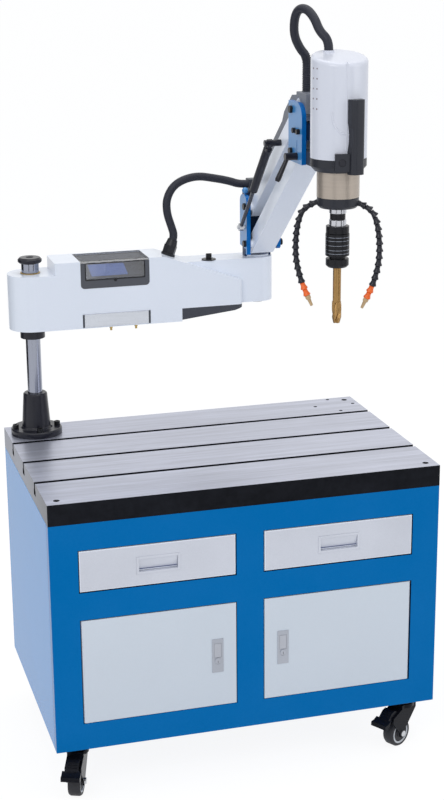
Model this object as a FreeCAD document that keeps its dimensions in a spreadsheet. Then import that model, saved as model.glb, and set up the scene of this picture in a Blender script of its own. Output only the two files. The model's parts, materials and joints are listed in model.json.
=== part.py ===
import FreeCAD, Part
import math
import os
import Sketcher
from FreeCAD import Placement, Rotation, Vector

# Arm tapping machine on a mobile steel cabinet.  Millimetres, +Z up, +X along the front
# from the column towards the spindle, origin on the floor under the centre of the table.

doc = FreeCAD.newDocument("arm_tapping_machine")
sheet = doc.addObject("Spreadsheet::Sheet", "dim")

DIMENSIONS = {
    # cabinet, all of folded and welded sheet
    "cabinet_width": 1000,
    "cabinet_depth": 650,
    "cabinet_height": 595,
    "plinth_height": 55,
    "plinth_wall": 40,
    "gusset_size": 110,
    "gusset_thick": 6,
    "sheet_thick": 3,
    "face_depth": 25,
    "stile_width": 70,
    "post_width": 70,
    "bottom_rail": 69.6,
    "middle_rail": 71.2,
    "door_opening": 276.1,
    "drawer_opening": 109.4,
    "front_gap": 2,
    "front_thick": 18,
    "front_skin": 2.5,
    "fold_width": 14,
    "hinge_inset": 6,
    "hinge_pin_radius": 2.5,
    "hinge_pin_length": 12,
    "drawer_box_width": 375,
    "drawer_box_depth": 500,
    "drawer_box_height": 90,
    "drawer_wall": 2,
    "runner_width": 12,
    "runner_height": 30,
    "slide_height": 12,
    "slide_reach": 5,
    "pull_width": 110,
    "pull_height": 45,
    "pull_depth": 15,
    "pull_rim": 5,
    "rim_thick": 1.5,
    "lock_width": 29,
    "lock_height": 90,
    "lock_depth": 13,
    "lock_inset": 48.5,
    "lever_width": 18,
    "lever_height": 38,
    "lever_rise": 14,
    "lever_thick": 5,
    # castors
    "castor_height": 136,
    "castor_inset_x": 62,
    "castor_inset_y": 55,
    "castor_plate_length": 104,
    "castor_plate_width": 84,
    "castor_plate_thick": 4,
    "castor_bolt_radius": 5,
    "castor_bolt_inset": 11,
    "swivel_race_radius": 27,
    "swivel_race_height": 14,
    "wheel_radius": 38,
    "wheel_width": 32,
    "wheel_trail": 26,
    "fork_wall": 4,
    "fork_top": 10,
    "fork_crown_radius": 29,
    "fork_room": 8,
    "axle_radius": 5,
    "pedal_ahead": 30,
    "pedal_rise": 46,
    "pedal_reach": 74,
    "pedal_width": 32,
    "pedal_lip": 48,
    "pedal_room": 14,
    "pedal_pin_radius": 3,
    # table
    "table_thick": 54,
    "slot_pitch": 165,
    "slot_middle": 10,
    "slot_width": 14,
    "slot_neck": 18,
    "slot_foot_width": 25,
    "slot_foot_height": 14,
    "screw_inset": 28,
    "screw_head_radius": 7.5,
    "screw_head_height": 8,
    "column_pattern_diameter": 112,
    "column_bolt_radius": 5,
    "column_bolt_depth": 24,
    "spare_column_x": 427,
    # column
    "column_x": -422,
    "column_y": 257,
    "column_radius": 19.5,
    "flange_radius": 68,
    "flange_height": 17,
    "socket_radius": 38,
    "socket_top_radius": 31.75,
    "socket_height": 113,
    "collar_radius": 32.5,
    "collar_height": 26.7,
    "neck_radius": 23,
    "neck_height": 26.7,
    "cap_radius": 31.5,
    "cap_height": 15,
    # swing arm, heights above the table top
    "arm_length": 620,
    "arm_low": 291,
    "hub_high": 437,
    "arm_depth": 122,
    "bush_radius": 26,
    "bush_height": 30,
    "box_left": 55,
    "box_high": 469,
    "slope_start": 349,
    "slope_end": 554.5,
    "slope_low": 397,
    "arm_end": 563,
    "box_rounding": 12,
    "hub_side_rounding": 8,
    "trim_rounding": 11,
    "trim_start": 394,
    "trim_low": 295,
    "knuckle_radius": 41.5,
    "knuckle_low": 326.5,
    "knuckle_high": 446.7,
    "swivel_radius": 15,
    "swivel_cap_radius": 19,
    "swivel_cap_height": 7,
    # controller in the swing arm, measured from the column
    "window_start": 122,
    "window_end": 306,
    "window_low": 397.5,
    "window_back": 10,
    "window_wall": 4,
    "lid_thick": 3,
    "panel_rise": 42,
    "fluid_start": 124,
    "fluid_end": 307.5,
    "fluid_low": 292,
    "fluid_high": 330,
    "fluid_depth": 2,
    "fitting_radius": 4.5,
    "fitting_length": 14,
    "gland_x": 372,
    "gland_radius": 19,
    "gland_height": 44,
    "lock_knob_x": 478,
    "lock_knob_y": 27,
    "lock_disc_radius": 19,
    "lock_disc_thick": 2.5,
    "lock_hub_radius": 6,
    "lock_hub_high": 9,
    "lock_wing_width": 15,
    "lock_wing_thick": 5,
    "lock_wing_high": 17,
    # balanced arm, forward of the knuckle axis
    "pivot_forward": 55.5,
    "pivot_high": 489.5,
    "pivot_spacing": 100,
    "pivot_radius": 6,
    "pivot_head_radius": 9,
    "pivot_head": 7,
    "link_length": 485,
    "link_elevation": 37.55,
    "link_half_width": 31,
    "link_under": 20,
    "link_over": 23,
    "link_tail": 32,
    "link_nose": 23,
    "link_wall": 7,
    "cheek_inside": 36.5,
    "cheek_thick": 11,
    "cheek_rounding": 22,
    "turret_cheek_low": 479,
    "turret_cheek_high": 618,
    "turret_cheek_back": 4,
    "turret_cheek_front": 66.7,
    "turret_web_front": 12,
    "turret_web_back": 10,
    "turret_disc_radius": 33,
    "turret_disc_height": 5,
    "junction_half": 24,
    "junction_height": 36,
    "cover_start": 20,
    "cover_height": 20,
    "cover_step": 10,
    "cover_step_start": 361,
    "cover_step_length": 27,
    "cover_end": 464,
    "cover_wall": 2.5,
    "upper_cheek_back": 24,
    "upper_cheek_front": 76,
    "upper_cheek_under": 23.5,
    "upper_cheek_over": 19.4,
    "upper_cheek_corner": 36,
    "tilt_forward": 40,
    "tilt_under": 7,
    "tilt_radius": 16,
    "tilt_rise": 110,
    "tilt_web": 12,
    "clamp_screw_radius": 6.5,
    "clamp_screw_head": 8,
    "clamp_screw_near": 26,
    "clamp_screw_far": 57,
    "clamp_hub_radius": 9,
    "clamp_hub_length": 30,
    "cross_block_back": 20,
    "cross_block_front": 68,
    "cross_block_low": 33,
    "cross_block_height": 40,
    "cable_box_back": 1,
    "cable_box_mid": 29,
    "cable_box_front": 73,
    "cable_box_low": -6,
    "cable_box_shelf": 28,
    "cable_box_high": 42,
    # gas spring at the side of the balanced arm
    "spring_side": 60,
    "spring_low_high": 535,
    "spring_link_along": 320,
    "spring_link_over": 5,
    "spring_radius": 11,
    "spring_rod_radius": 5,
    "spring_cylinder_length": 185,
    "spring_eye_radius": 10,
    "spring_eye_thick": 12,
    "stud_radius": 5,
    # tapping head, forward of the upper pivots; heights above the table top
    "head_forward": 198,
    "head_ring_low": 764.5,
    "head_ring_high": 795,
    "head_cover_high": 1035,
    "head_cover_fall": 24,
    "head_radius": 65.25,
    "motor_half": 40,
    "motor_frame": 120,
    "motor_height": 165,
    "encoder_radius": 34,
    "head_cover_wall": 3,
    "cable_entry_side": 12,
    "cable_entry_back": 40,
    "cable_entry_low": 2,
    "gearbox_radius": 49.5,
    "gearbox_low": 704,
    "lower_ring_radius": 48.8,
    "lower_ring_low": 679,
    "spindle_radius": 20.15,
    "spindle_low": 636,
    "chuck_radius": 27.1,
    "chuck_low": 538.5,
    "sleeve_radius": 24,
    "sleeve_low": 566,
    "sleeve_high": 618,
    "sleeve_travel": 6,
    "tap_shank_radius": 9.6,
    "tap_flute_radius": 11.9,
    "tap_shank_low": 456,
    "tap_low": 404,
    "grip_width": 34,
    "grip_depth": 28,
    "grip_low": 764,
    "grip_high": 932,
    "grip_waist": 3,
    "grip_rounding": 11,
    "grip_bearing": 13,
    "switch_bearing": -13,
    "switch_width": 33,
    "switch_height": 40,
    "switch_depth": 18,
    "switch_low": 771,
    "button_radius": 8,
    "button_travel": 3,
    "hose_radius": 7.5,
    "cable_radius": 11,
    # clearances
    "running_gap": 0.3,
    "shaft_gap": 0.05,
}

for row, (alias, value) in enumerate(DIMENSIONS.items(), start=1):
    sheet.set(f"A{row}", alias)
    sheet.set(f"B{row}", str(value))
    sheet.setAlias(f"B{row}", alias)
doc.recompute()


def size(alias):
    """A driving dimension as a number, read from the sheet."""
    return float(sheet.get(alias))


# ---------------------------------------------------------------- building helpers

TURN_TO = {"x": Rotation(Vector(0, 1, 0), 90), "y": Rotation(Vector(1, 0, 0), -90), "z": Rotation()}
NORMAL_OF = {"XY_Plane": "z", "XZ_Plane": "y", "YZ_Plane": "x"}


def locate(obj, x="0", y="0", z="0"):
    """Binds an object's position to formulas."""
    for axis, formula in zip("xyz", (x, y, z)):
        if formula != "0":
            obj.setExpression("Placement.Base." + axis, formula)
    return obj


def block(label, x, y, z):
    """A box between a low and a high formula on each axis."""
    box = doc.addObject("Part::Box", label)
    for prop, (low, high) in zip(("Length", "Width", "Height"), (x, y, z)):
        box.setExpression(prop, f"({high}) - ({low})")
    return locate(box, x[0], y[0], z[0])


def rod(label, radius, axis, centre, along):
    """A round bar along an axis, from a low to a high formula, centred on the other two."""
    bar = doc.addObject("Part::Cylinder", label)
    bar.Placement = Placement(Vector(), TURN_TO[axis])
    bar.setExpression("Radius", radius)
    bar.setExpression("Height", f"({along[1]}) - ({along[0]})")
    spot = list(centre)
    spot.insert("xyz".index(axis), along[0])
    return locate(bar, *spot)


def fuse(label, *shapes):
    joined = doc.addObject("Part::MultiFuse", label)
    joined.Shapes = list(shapes)
    return joined


def cut(label, base, *tools):
    result = doc.addObject("Part::Cut", label)
    result.Base = base
    result.Tool = tools[0] if len(tools) == 1 else fuse(label + "_cuts", *tools)
    return result


def group(label, *pieces):
    """Like pieces that share one node and stay separate solids."""
    compound = doc.addObject("Part::Compound", label)
    compound.Links = list(pieces)
    return compound


def origin_plane(body, role):
    return next(item for item in body.Origin.OriginFeatures if item.Role == role)


def outline(body, plane, corners):
    """A closed sketch of straight sides whose corners are bound to formulas."""
    sketch = body.newObject("Sketcher::SketchObject", body.Name + "_outline")
    sketch.AttachmentSupport = [(origin_plane(body, plane), "")]
    sketch.MapMode = "FlatFace"
    count = len(corners)
    ring = [Vector(math.cos(2 * math.pi * i / count), math.sin(2 * math.pi * i / count), 0)
            for i in range(count)]
    for i in range(count):
        sketch.addGeometry(Part.LineSegment(ring[i], ring[(i + 1) % count]), False)
    for i in range(count):
        sketch.addConstraint(Sketcher.Constraint("Coincident", i, 2, (i + 1) % count, 1))
    for i, corner in enumerate(corners):
        for kind, formula, value in zip(("DistanceX", "DistanceY"), corner, ring[i]):
            index = sketch.addConstraint(Sketcher.Constraint(kind, -1, 1, i, 1, value))
            sketch.setExpression(f"Constraints[{index}]", formula)
    return sketch


def plate(label, plane, corners, low, high):
    """A profile on an origin plane, padded from low to high along the plane's axis."""
    body = doc.addObject("PartDesign::Body", label)
    pad = body.newObject("PartDesign::Pad", label + "_pad")
    pad.Profile = outline(body, plane, corners)
    pad.setExpression("Length", f"({high}) - ({low})")
    axis = NORMAL_OF[plane]
    start = high if axis == "y" else low
    locate(body, **{axis: start})
    return body


def turned(label, stations, x="0", y="0", z="0"):
    """A lathe-turned piece from its (radius, height) stations."""
    body = doc.addObject("PartDesign::Body", label)
    lathe = body.newObject("PartDesign::Revolution", label + "_turn")
    sketch = outline(body, "XZ_Plane", stations)
    lathe.Profile = sketch
    lathe.ReferenceAxis = (sketch, ["V_Axis"])
    lathe.Angle = 360
    return locate(body, x, y, z)


def bound_check(edge, axis, bounds):
    """True for a straight edge along an axis whose middle lies within the bounds."""
    if edge.Curve.TypeId != "Part::GeomLine":
        return False
    direction = edge.Curve.Direction
    if abs(getattr(direction, axis)) < 0.999:
        return False
    middle = edge.CenterOfMass
    return all(low <= getattr(middle, name) <= high for name, (low, high) in bounds.items())


def rounded(body, radius, axis, **bounds):
    """Rounds a body's straight edges along an axis, where their middles lie within bounds."""
    doc.recompute()
    base = body.Tip
    names = [f"Edge{i}" for i, edge in enumerate(base.Shape.Edges, start=1)
             if bound_check(edge, axis, bounds)]
    fillet = body.newObject("PartDesign::Fillet", body.Name + "_rounding")
    fillet.Base = (base, names)
    fillet.setExpression("Radius", radius)
    body.Tip = fillet
    return body


def hollow_ring(label, outer, inner, axis, centre, along):
    ring = rod(label + "_outside", outer, axis, centre, along)
    bore = rod(label + "_bore", inner, axis, centre, along)
    return cut(label, ring, bore)


# ---------------------------------------------------------------- levels and places

HALF_W = "dim.cabinet_width / 2"
HALF_D = "dim.cabinet_depth / 2"
CABINET_LOW = "dim.castor_height"
PLINTH_TOP = "(dim.castor_height + dim.plinth_height)"
CABINET_TOP = "(dim.castor_height + dim.cabinet_height)"
TABLE_TOP = "(dim.castor_height + dim.cabinet_height + dim.table_thick)"
FACE_FRONT = f"-{HALF_D}"
FACE_BACK = f"(dim.face_depth - {HALF_D})"
OPENING_W = "((dim.cabinet_width - 2 * dim.stile_width - dim.post_width) / 2)"
DOOR_LOW = "(dim.castor_height + dim.bottom_rail)"
DOOR_HIGH = "(dim.castor_height + dim.bottom_rail + dim.door_opening)"
DRAWER_LOW = f"({DOOR_HIGH} + dim.middle_rail)"
DRAWER_HIGH = f"({DRAWER_LOW} + dim.drawer_opening)"
SHELF_LOW = f"({DOOR_HIGH} + dim.middle_rail / 2 - dim.sheet_thick / 2)"
SHELF_HIGH = f"({SHELF_LOW} + dim.sheet_thick)"


def above(height):
    """A height over the table top."""
    return f"({TABLE_TOP} + {height})"


def mirrored(side, low, high):
    """A pair of x formulas on the left (-1) or right (1) side, lowest first."""
    return (low, high) if side > 0 else (f"-({high})", f"-({low})")


# ---------------------------------------------------------------- cabinet

def base_frame():
    """Floor ring of the cabinet with a gusset over each castor."""
    outer = block("plinth_outside", (f"-{HALF_W}", HALF_W), (FACE_BACK, HALF_D), (CABINET_LOW, PLINTH_TOP))
    inner = block("plinth_inside", (f"dim.plinth_wall - {HALF_W}", f"{HALF_W} - dim.plinth_wall"),
                  (f"{FACE_BACK} + dim.plinth_wall", f"{HALF_D} - dim.plinth_wall"),
                  (CABINET_LOW, PLINTH_TOP))
    ring = cut("plinth_ring", outer, inner)
    gussets = []
    for side in (-1, 1):
        x = mirrored(side, f"{HALF_W} - dim.gusset_size", HALF_W)
        for name, y in (("front", (FACE_BACK, f"{FACE_BACK} + dim.gusset_size")),
                        ("rear", (f"{HALF_D} - dim.gusset_size", HALF_D))):
            gussets.append(block(f"gusset_{name}_{side + 1}", x, y,
                                 (CABINET_LOW, f"{CABINET_LOW} + dim.gusset_thick")))
    return [ring, *gussets]


def cabinet_body():
    """Sides, back and bottom of folded sheet, welded on the floor ring."""
    outer = block("carcase_outside", (f"-{HALF_W}", HALF_W), (FACE_BACK, HALF_D), (PLINTH_TOP, CABINET_TOP))
    inner = block("carcase_inside", (f"dim.sheet_thick - {HALF_W}", f"{HALF_W} - dim.sheet_thick"),
                  (FACE_BACK, f"{HALF_D} - dim.sheet_thick"),
                  (f"{PLINTH_TOP} + dim.sheet_thick", CABINET_TOP))
    return fuse("cabinet_body", cut("carcase", outer, inner), *base_frame())


def front_frame():
    face = block("face_blank", (f"-{HALF_W}", HALF_W), (FACE_FRONT, FACE_BACK), (CABINET_LOW, CABINET_TOP))
    holes = []
    for side in (-1, 1):
        x = mirrored(side, "dim.post_width / 2", f"dim.post_width / 2 + {OPENING_W}")
        for name, z in (("door", (DOOR_LOW, DOOR_HIGH)), ("drawer", (DRAWER_LOW, DRAWER_HIGH))):
            holes.append(block(f"{name}_hole_{side + 1}", x, (FACE_FRONT, FACE_BACK), z))
    return cut("front_frame", face, *holes)


def cabinet_inside():
    """A centre wall, a shelf on each side of it, and the four channels the drawers run in."""
    half = "dim.sheet_thick / 2"
    back = f"{HALF_D} - dim.sheet_thick"
    walls = [block("centre_partition", (f"-{half}", half), (FACE_BACK, back),
                   (f"{PLINTH_TOP} + dim.sheet_thick", CABINET_TOP))]
    runners = []
    for side in (-1, 1):
        walls.append(block(f"shelf_{side + 1}", mirrored(side, half, f"{HALF_W} - dim.sheet_thick"),
                           (FACE_BACK, back), (SHELF_LOW, SHELF_HIGH)))
        middle = f"(dim.post_width / 2 + {OPENING_W} / 2)"
        reach = "(dim.drawer_box_width / 2 + dim.slide_reach + dim.running_gap)"
        height = f"({DRAWER_LOW} + dim.drawer_opening / 2)"
        for name, sense in (("outer", 1), ("inner", -1)):
            near = f"{middle} + {sense} * {reach}"
            far = f"{middle} + {sense} * ({reach} + dim.runner_width)"
            x = mirrored(side, near, far) if sense > 0 else mirrored(side, far, near)
            runners.append(block(f"runner_{name}_{side + 1}", x, (FACE_BACK, back),
                                 (f"{height} - dim.runner_height / 2",
                                  f"{height} + dim.runner_height / 2")))
            lip_near = f"{middle} + {sense} * (dim.drawer_box_width / 2 + dim.running_gap)"
            lip_x = mirrored(side, lip_near, near) if sense > 0 else mirrored(side, near, lip_near)
            ledge_top = f"{height} - dim.slide_height / 2 - dim.running_gap"
            ledge = block(f"ledge_{name}_{side + 1}", lip_x, (FACE_BACK, back),
                          (f"{ledge_top} - dim.front_gap", ledge_top))
            runners[-1] = fuse(f"slide_channel_{name}_{side + 1}", runners[-1], ledge)
    return fuse("cabinet_dividers", *walls), runners


def cabinet_hardware(runners):
    """The drawers' runners and the doors' hinge pins."""
    return group("cabinet_hardware", *runners, *door_hinge_pins())


def drawer(name, side):
    """A front panel welded to a tray, with a slide bar on each side."""
    low_x = f"dim.post_width / 2 + dim.front_gap"
    high_x = f"dim.post_width / 2 + {OPENING_W} - dim.front_gap"
    low_z = f"{DRAWER_LOW} + dim.front_gap"
    high_z = f"{DRAWER_HIGH} - dim.front_gap"
    panel_back = f"({FACE_FRONT} + dim.front_thick)"
    panel = block(f"{name}_panel", mirrored(side, low_x, high_x), (FACE_FRONT, panel_back), (low_z, high_z))
    middle = f"(dim.post_width / 2 + {OPENING_W} / 2)"
    half = "dim.drawer_box_width / 2"
    height = f"({DRAWER_LOW} + dim.drawer_opening / 2)"
    box_low = f"({height} - dim.drawer_box_height / 2)"
    box_high = f"({height} + dim.drawer_box_height / 2)"
    box_back = f"({panel_back} + dim.drawer_box_depth)"
    tray = block(f"{name}_tray", mirrored(side, f"{middle} - {half}", f"{middle} + {half}"),
                 (panel_back, box_back), (box_low, box_high))
    inside = block(f"{name}_inside", mirrored(side, f"{middle} - {half} + dim.drawer_wall",
                                              f"{middle} + {half} - dim.drawer_wall"),
                   (panel_back, f"{box_back} - dim.drawer_wall"),
                   (f"{box_low} + dim.drawer_wall", box_high))
    bars = []
    for sense in (-1, 1):
        near = f"{middle} + {sense} * {half}"
        far = f"{middle} + {sense} * ({half} + dim.slide_reach)"
        x = mirrored(side, near, far) if sense > 0 else mirrored(side, far, near)
        bars.append(block(f"{name}_bar_{sense + 1}", x, (f"{panel_back} + dim.front_thick", box_back),
                          (f"{height} - dim.slide_height / 2", f"{height} + dim.slide_height / 2")))
    solid = fuse(f"{name}_solid", panel, tray, *bars)
    centre = f"{side} * {middle}"
    cup = block(f"{name}_pull_hole", (f"{centre} - dim.pull_width / 2 + dim.pull_rim - dim.shaft_gap",
                                      f"{centre} + dim.pull_width / 2 - dim.pull_rim + dim.shaft_gap"),
                (FACE_FRONT, f"{FACE_FRONT} + dim.pull_depth + dim.shaft_gap"),
                (f"{height} - dim.pull_height / 2 + dim.pull_rim - dim.shaft_gap",
                 f"{height} + dim.pull_height / 2 - dim.pull_rim + dim.shaft_gap"))
    return group(name, cut(f"{name}_box", solid, inside, cup), drawer_pull(f"{name}_pull", side))


def drawer_pull(name, side):
    """A flush cup pull: rim on the panel, cup let into it, a lip over the upper half."""
    centre = f"{side} * (dim.post_width / 2 + {OPENING_W} / 2)"
    height = f"({DRAWER_LOW} + dim.drawer_opening / 2)"
    half_w = "dim.pull_width / 2"
    half_h = "dim.pull_height / 2"
    rim_front = f"({FACE_FRONT} - dim.rim_thick)"
    rim = block(f"{name}_rim", (f"{centre} - {half_w}", f"{centre} + {half_w}"), (rim_front, FACE_FRONT),
                (f"{height} - {half_h}", f"{height} + {half_h}"))
    cup = block(f"{name}_cup", (f"{centre} - {half_w} + dim.pull_rim",
                                f"{centre} + {half_w} - dim.pull_rim"),
                (FACE_FRONT, f"{FACE_FRONT} + dim.pull_depth"),
                (f"{height} - {half_h} + dim.pull_rim", f"{height} + {half_h} - dim.pull_rim"))
    wall = "(dim.pull_rim + dim.rim_thick)"
    hollow = block(f"{name}_hollow", (f"{centre} - {half_w} + {wall}", f"{centre} + {half_w} - {wall}"),
                   (rim_front, f"{FACE_FRONT} + dim.pull_depth - dim.rim_thick"),
                   (f"{height} - {half_h} + {wall}", f"{height} + {half_h} - {wall}"))
    return cut(name, fuse(f"{name}_solid", rim, cup), hollow)


def door(name, side):
    """A folded tray door with a pin bore at the top and bottom of its outer edge."""
    low_x = f"dim.post_width / 2 + dim.front_gap"
    high_x = f"(dim.post_width / 2 + {OPENING_W} - dim.front_gap)"
    low_z = f"({DOOR_LOW} + dim.front_gap)"
    high_z = f"({DOOR_HIGH} - dim.front_gap)"
    x = mirrored(side, low_x, high_x)
    corners = [(x[0], FACE_FRONT), (x[1], FACE_FRONT), (x[1], f"{FACE_FRONT} + dim.front_thick"),
               (x[0], f"{FACE_FRONT} + dim.front_thick")]
    blank = plate(f"{name}_blank", "XY_Plane", corners, low_z, high_z)
    edge = side * (size("post_width") / 2 + (size("cabinet_width") - 2 * size("stile_width")
                                             - size("post_width")) / 2 - size("front_gap"))
    front = -size("cabinet_depth") / 2
    rounded(blank, "dim.hinge_inset - dim.shaft_gap", "z", x=(edge - 1, edge + 1), y=(front - 1, front + 1))
    hollow = block(f"{name}_hollow", mirrored(side, f"{low_x} + dim.fold_width",
                                              f"{high_x} - dim.fold_width"),
                   (f"{FACE_FRONT} + dim.front_skin", f"{FACE_FRONT} + dim.front_thick"),
                   (f"{low_z} + dim.fold_width", f"{high_z} - dim.fold_width"))
    hinge = (f"{side} * ({high_x} - dim.hinge_inset)", f"{FACE_FRONT} + dim.hinge_inset")
    bore = "dim.hinge_pin_radius + dim.shaft_gap"
    bores = [rod(f"{name}_bore_low", bore, "z", hinge, (low_z, f"{low_z} + dim.hinge_pin_length")),
             rod(f"{name}_bore_high", bore, "z", hinge, (f"{high_z} - dim.hinge_pin_length", high_z))]
    lock_x = f"{side} * ({low_x} + dim.lock_inset)"
    lock_z = f"({DOOR_LOW} + dim.door_opening / 2)"
    slot = block(f"{name}_lock_hole", (f"{lock_x} - dim.lock_width / 2 + dim.front_gap",
                                       f"{lock_x} + dim.lock_width / 2 - dim.front_gap"),
                 (FACE_FRONT, f"{FACE_FRONT} + dim.front_skin"),
                 (f"{lock_z} - dim.lock_height / 2 + dim.front_gap",
                  f"{lock_z} + dim.lock_height / 2 - dim.front_gap"))
    return group(name, cut(f"{name}_tray", blank, hollow, slot, *bores), door_lock(f"{name}_lock", side))


def door_hinge_pins():
    pins = []
    for side in (-1, 1):
        hinge = (f"{side} * (dim.post_width / 2 + {OPENING_W} - dim.front_gap - dim.hinge_inset)",
                 f"{FACE_FRONT} + dim.hinge_inset")
        for name, z in (("low", (DOOR_LOW, f"{DOOR_LOW} + dim.hinge_pin_length")),
                        ("high", (f"{DOOR_HIGH} - dim.hinge_pin_length", DOOR_HIGH))):
            pins.append(rod(f"hinge_pin_{name}_{side + 1}", "dim.hinge_pin_radius", "z", hinge, z))
    return pins


def door_lock(name, side):
    """A flush lock: a rim on the door skin, a sunk housing and a flip lever with a key barrel."""
    centre = f"{side} * (dim.post_width / 2 + dim.front_gap + dim.lock_inset)"
    height = f"({DOOR_LOW} + dim.door_opening / 2)"
    half_w = "dim.lock_width / 2"
    half_h = "dim.lock_height / 2"
    rim_front = f"({FACE_FRONT} - dim.rim_thick)"
    inset = "(dim.front_gap + dim.shaft_gap)"
    rim = block(f"{name}_rim", (f"{centre} - {half_w}", f"{centre} + {half_w}"), (rim_front, FACE_FRONT),
                (f"{height} - {half_h}", f"{height} + {half_h}"))
    housing = block(f"{name}_sunk", (f"{centre} - {half_w} + {inset}", f"{centre} + {half_w} - {inset}"),
                    (FACE_FRONT, f"{FACE_FRONT} + dim.lock_depth"),
                    (f"{height} - {half_h} + {inset}", f"{height} + {half_h} - {inset}"))
    lever_z = f"({height} + dim.lever_rise + dim.lever_height / 2)"
    gap = "dim.running_gap"
    recess = block(f"{name}_recess", (f"{centre} - dim.lever_width / 2 - {gap}",
                                      f"{centre} + dim.lever_width / 2 + {gap}"),
                   (rim_front, f"{FACE_FRONT} + dim.lock_depth - dim.rim_thick"),
                   (f"{lever_z} - dim.lever_height - {gap}", f"{lever_z} + {gap}"))
    barrel = rod(f"{name}_barrel", "dim.lever_width / 2 - 1", "y",
                 (centre, f"{lever_z} - dim.lever_height - dim.lever_width / 2"),
                 (f"{rim_front} - dim.rim_thick", rim_front))
    return cut(name, fuse(f"{name}_solid", rim, housing, barrel), recess)


def lock_lever(name, side):
    """The flip lever in its recess, hinged along its upper edge, with a seat behind it."""
    centre = f"{side} * (dim.post_width / 2 + dim.front_gap + dim.lock_inset)"
    height = f"({DOOR_LOW} + dim.door_opening / 2)"
    front = f"({FACE_FRONT} - dim.rim_thick)"
    back = f"{front} + dim.lever_thick"
    top = f"({height} + dim.lever_rise + dim.lever_height / 2)"
    low = f"({top} - dim.lever_height)"
    corners = [(front, low), (f"{front} + dim.lever_thick / 2", low), (back, f"{low} + dim.lever_thick"),
               (back, top), (front, top)]
    lever = plate(name, "YZ_Plane", corners, f"{centre} - dim.lever_width / 2",
                  f"{centre} + dim.lever_width / 2")
    level = (size("castor_height") + size("bottom_rail") + size("door_opening") / 2
             + size("lever_rise") + size("lever_height") / 2)
    return rounded(lever, "dim.lever_thick / 2 - dim.shaft_gap", "x", z=(level - 1, level + 1))


# ---------------------------------------------------------------- castors

CASTORS = {
    "front_left": (-1, -1, -112.0),
    "front_right": (1, -1, -150.0),
    "rear_left": (-1, 1, -76.0),
    "rear_right": (1, 1, -118.0),
}
BRAKED = ("front_left", "front_right")


def castor_axis(side, end):
    x = f"{side} * ({HALF_W} - dim.castor_inset_x)"
    y = f"{end} * ({HALF_D} - dim.castor_inset_y)"
    return x, y


def castor_plates():
    plates = []
    for name, (side, end, _) in CASTORS.items():
        x, y = castor_axis(side, end)
        top = CABINET_LOW
        under = f"({top} - dim.castor_plate_thick)"
        flat = block(f"top_plate_{name}", (f"{x} - dim.castor_plate_length / 2",
                                           f"{x} + dim.castor_plate_length / 2"),
                     (f"{y} - dim.castor_plate_width / 2", f"{y} + dim.castor_plate_width / 2"),
                     (under, top))
        race = rod(f"race_{name}", "dim.swivel_race_radius", "z", (x, y),
                   (f"{under} - dim.swivel_race_height", under))
        bolts = [rod(f"plate_bolt_{name}_{a + 1}_{b + 1}", "dim.castor_bolt_radius", "z",
                     (f"{x} + {a} * (dim.castor_plate_length / 2 - dim.castor_bolt_inset)",
                      f"{y} + {b} * (dim.castor_plate_width / 2 - dim.castor_bolt_inset)"),
                     (f"{under} - dim.castor_bolt_radius", under)) for a in (-1, 1) for b in (-1, 1)]
        plates.append(fuse(f"castor_plate_{name}", flat, race, *bolts))
    return group("castor_plates", *plates)


def turned_about(obj, side, end, bearing):
    """Stands a castor piece, drawn trailing along +X, on its swivel axis at its bearing."""
    x, y = castor_axis(side, end)
    obj.Placement = Placement(Vector(), Rotation(Vector(0, 0, 1), bearing))
    return locate(obj, x, y)


CHEEK_OUT = "(dim.wheel_width / 2 + dim.running_gap + dim.fork_wall + 1)"
CHEEK_IN = "(dim.wheel_width / 2 + dim.running_gap + 1)"
PEDAL_PIVOT = ("(dim.wheel_trail + dim.pedal_ahead)", "(dim.wheel_radius + dim.pedal_rise)")


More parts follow.
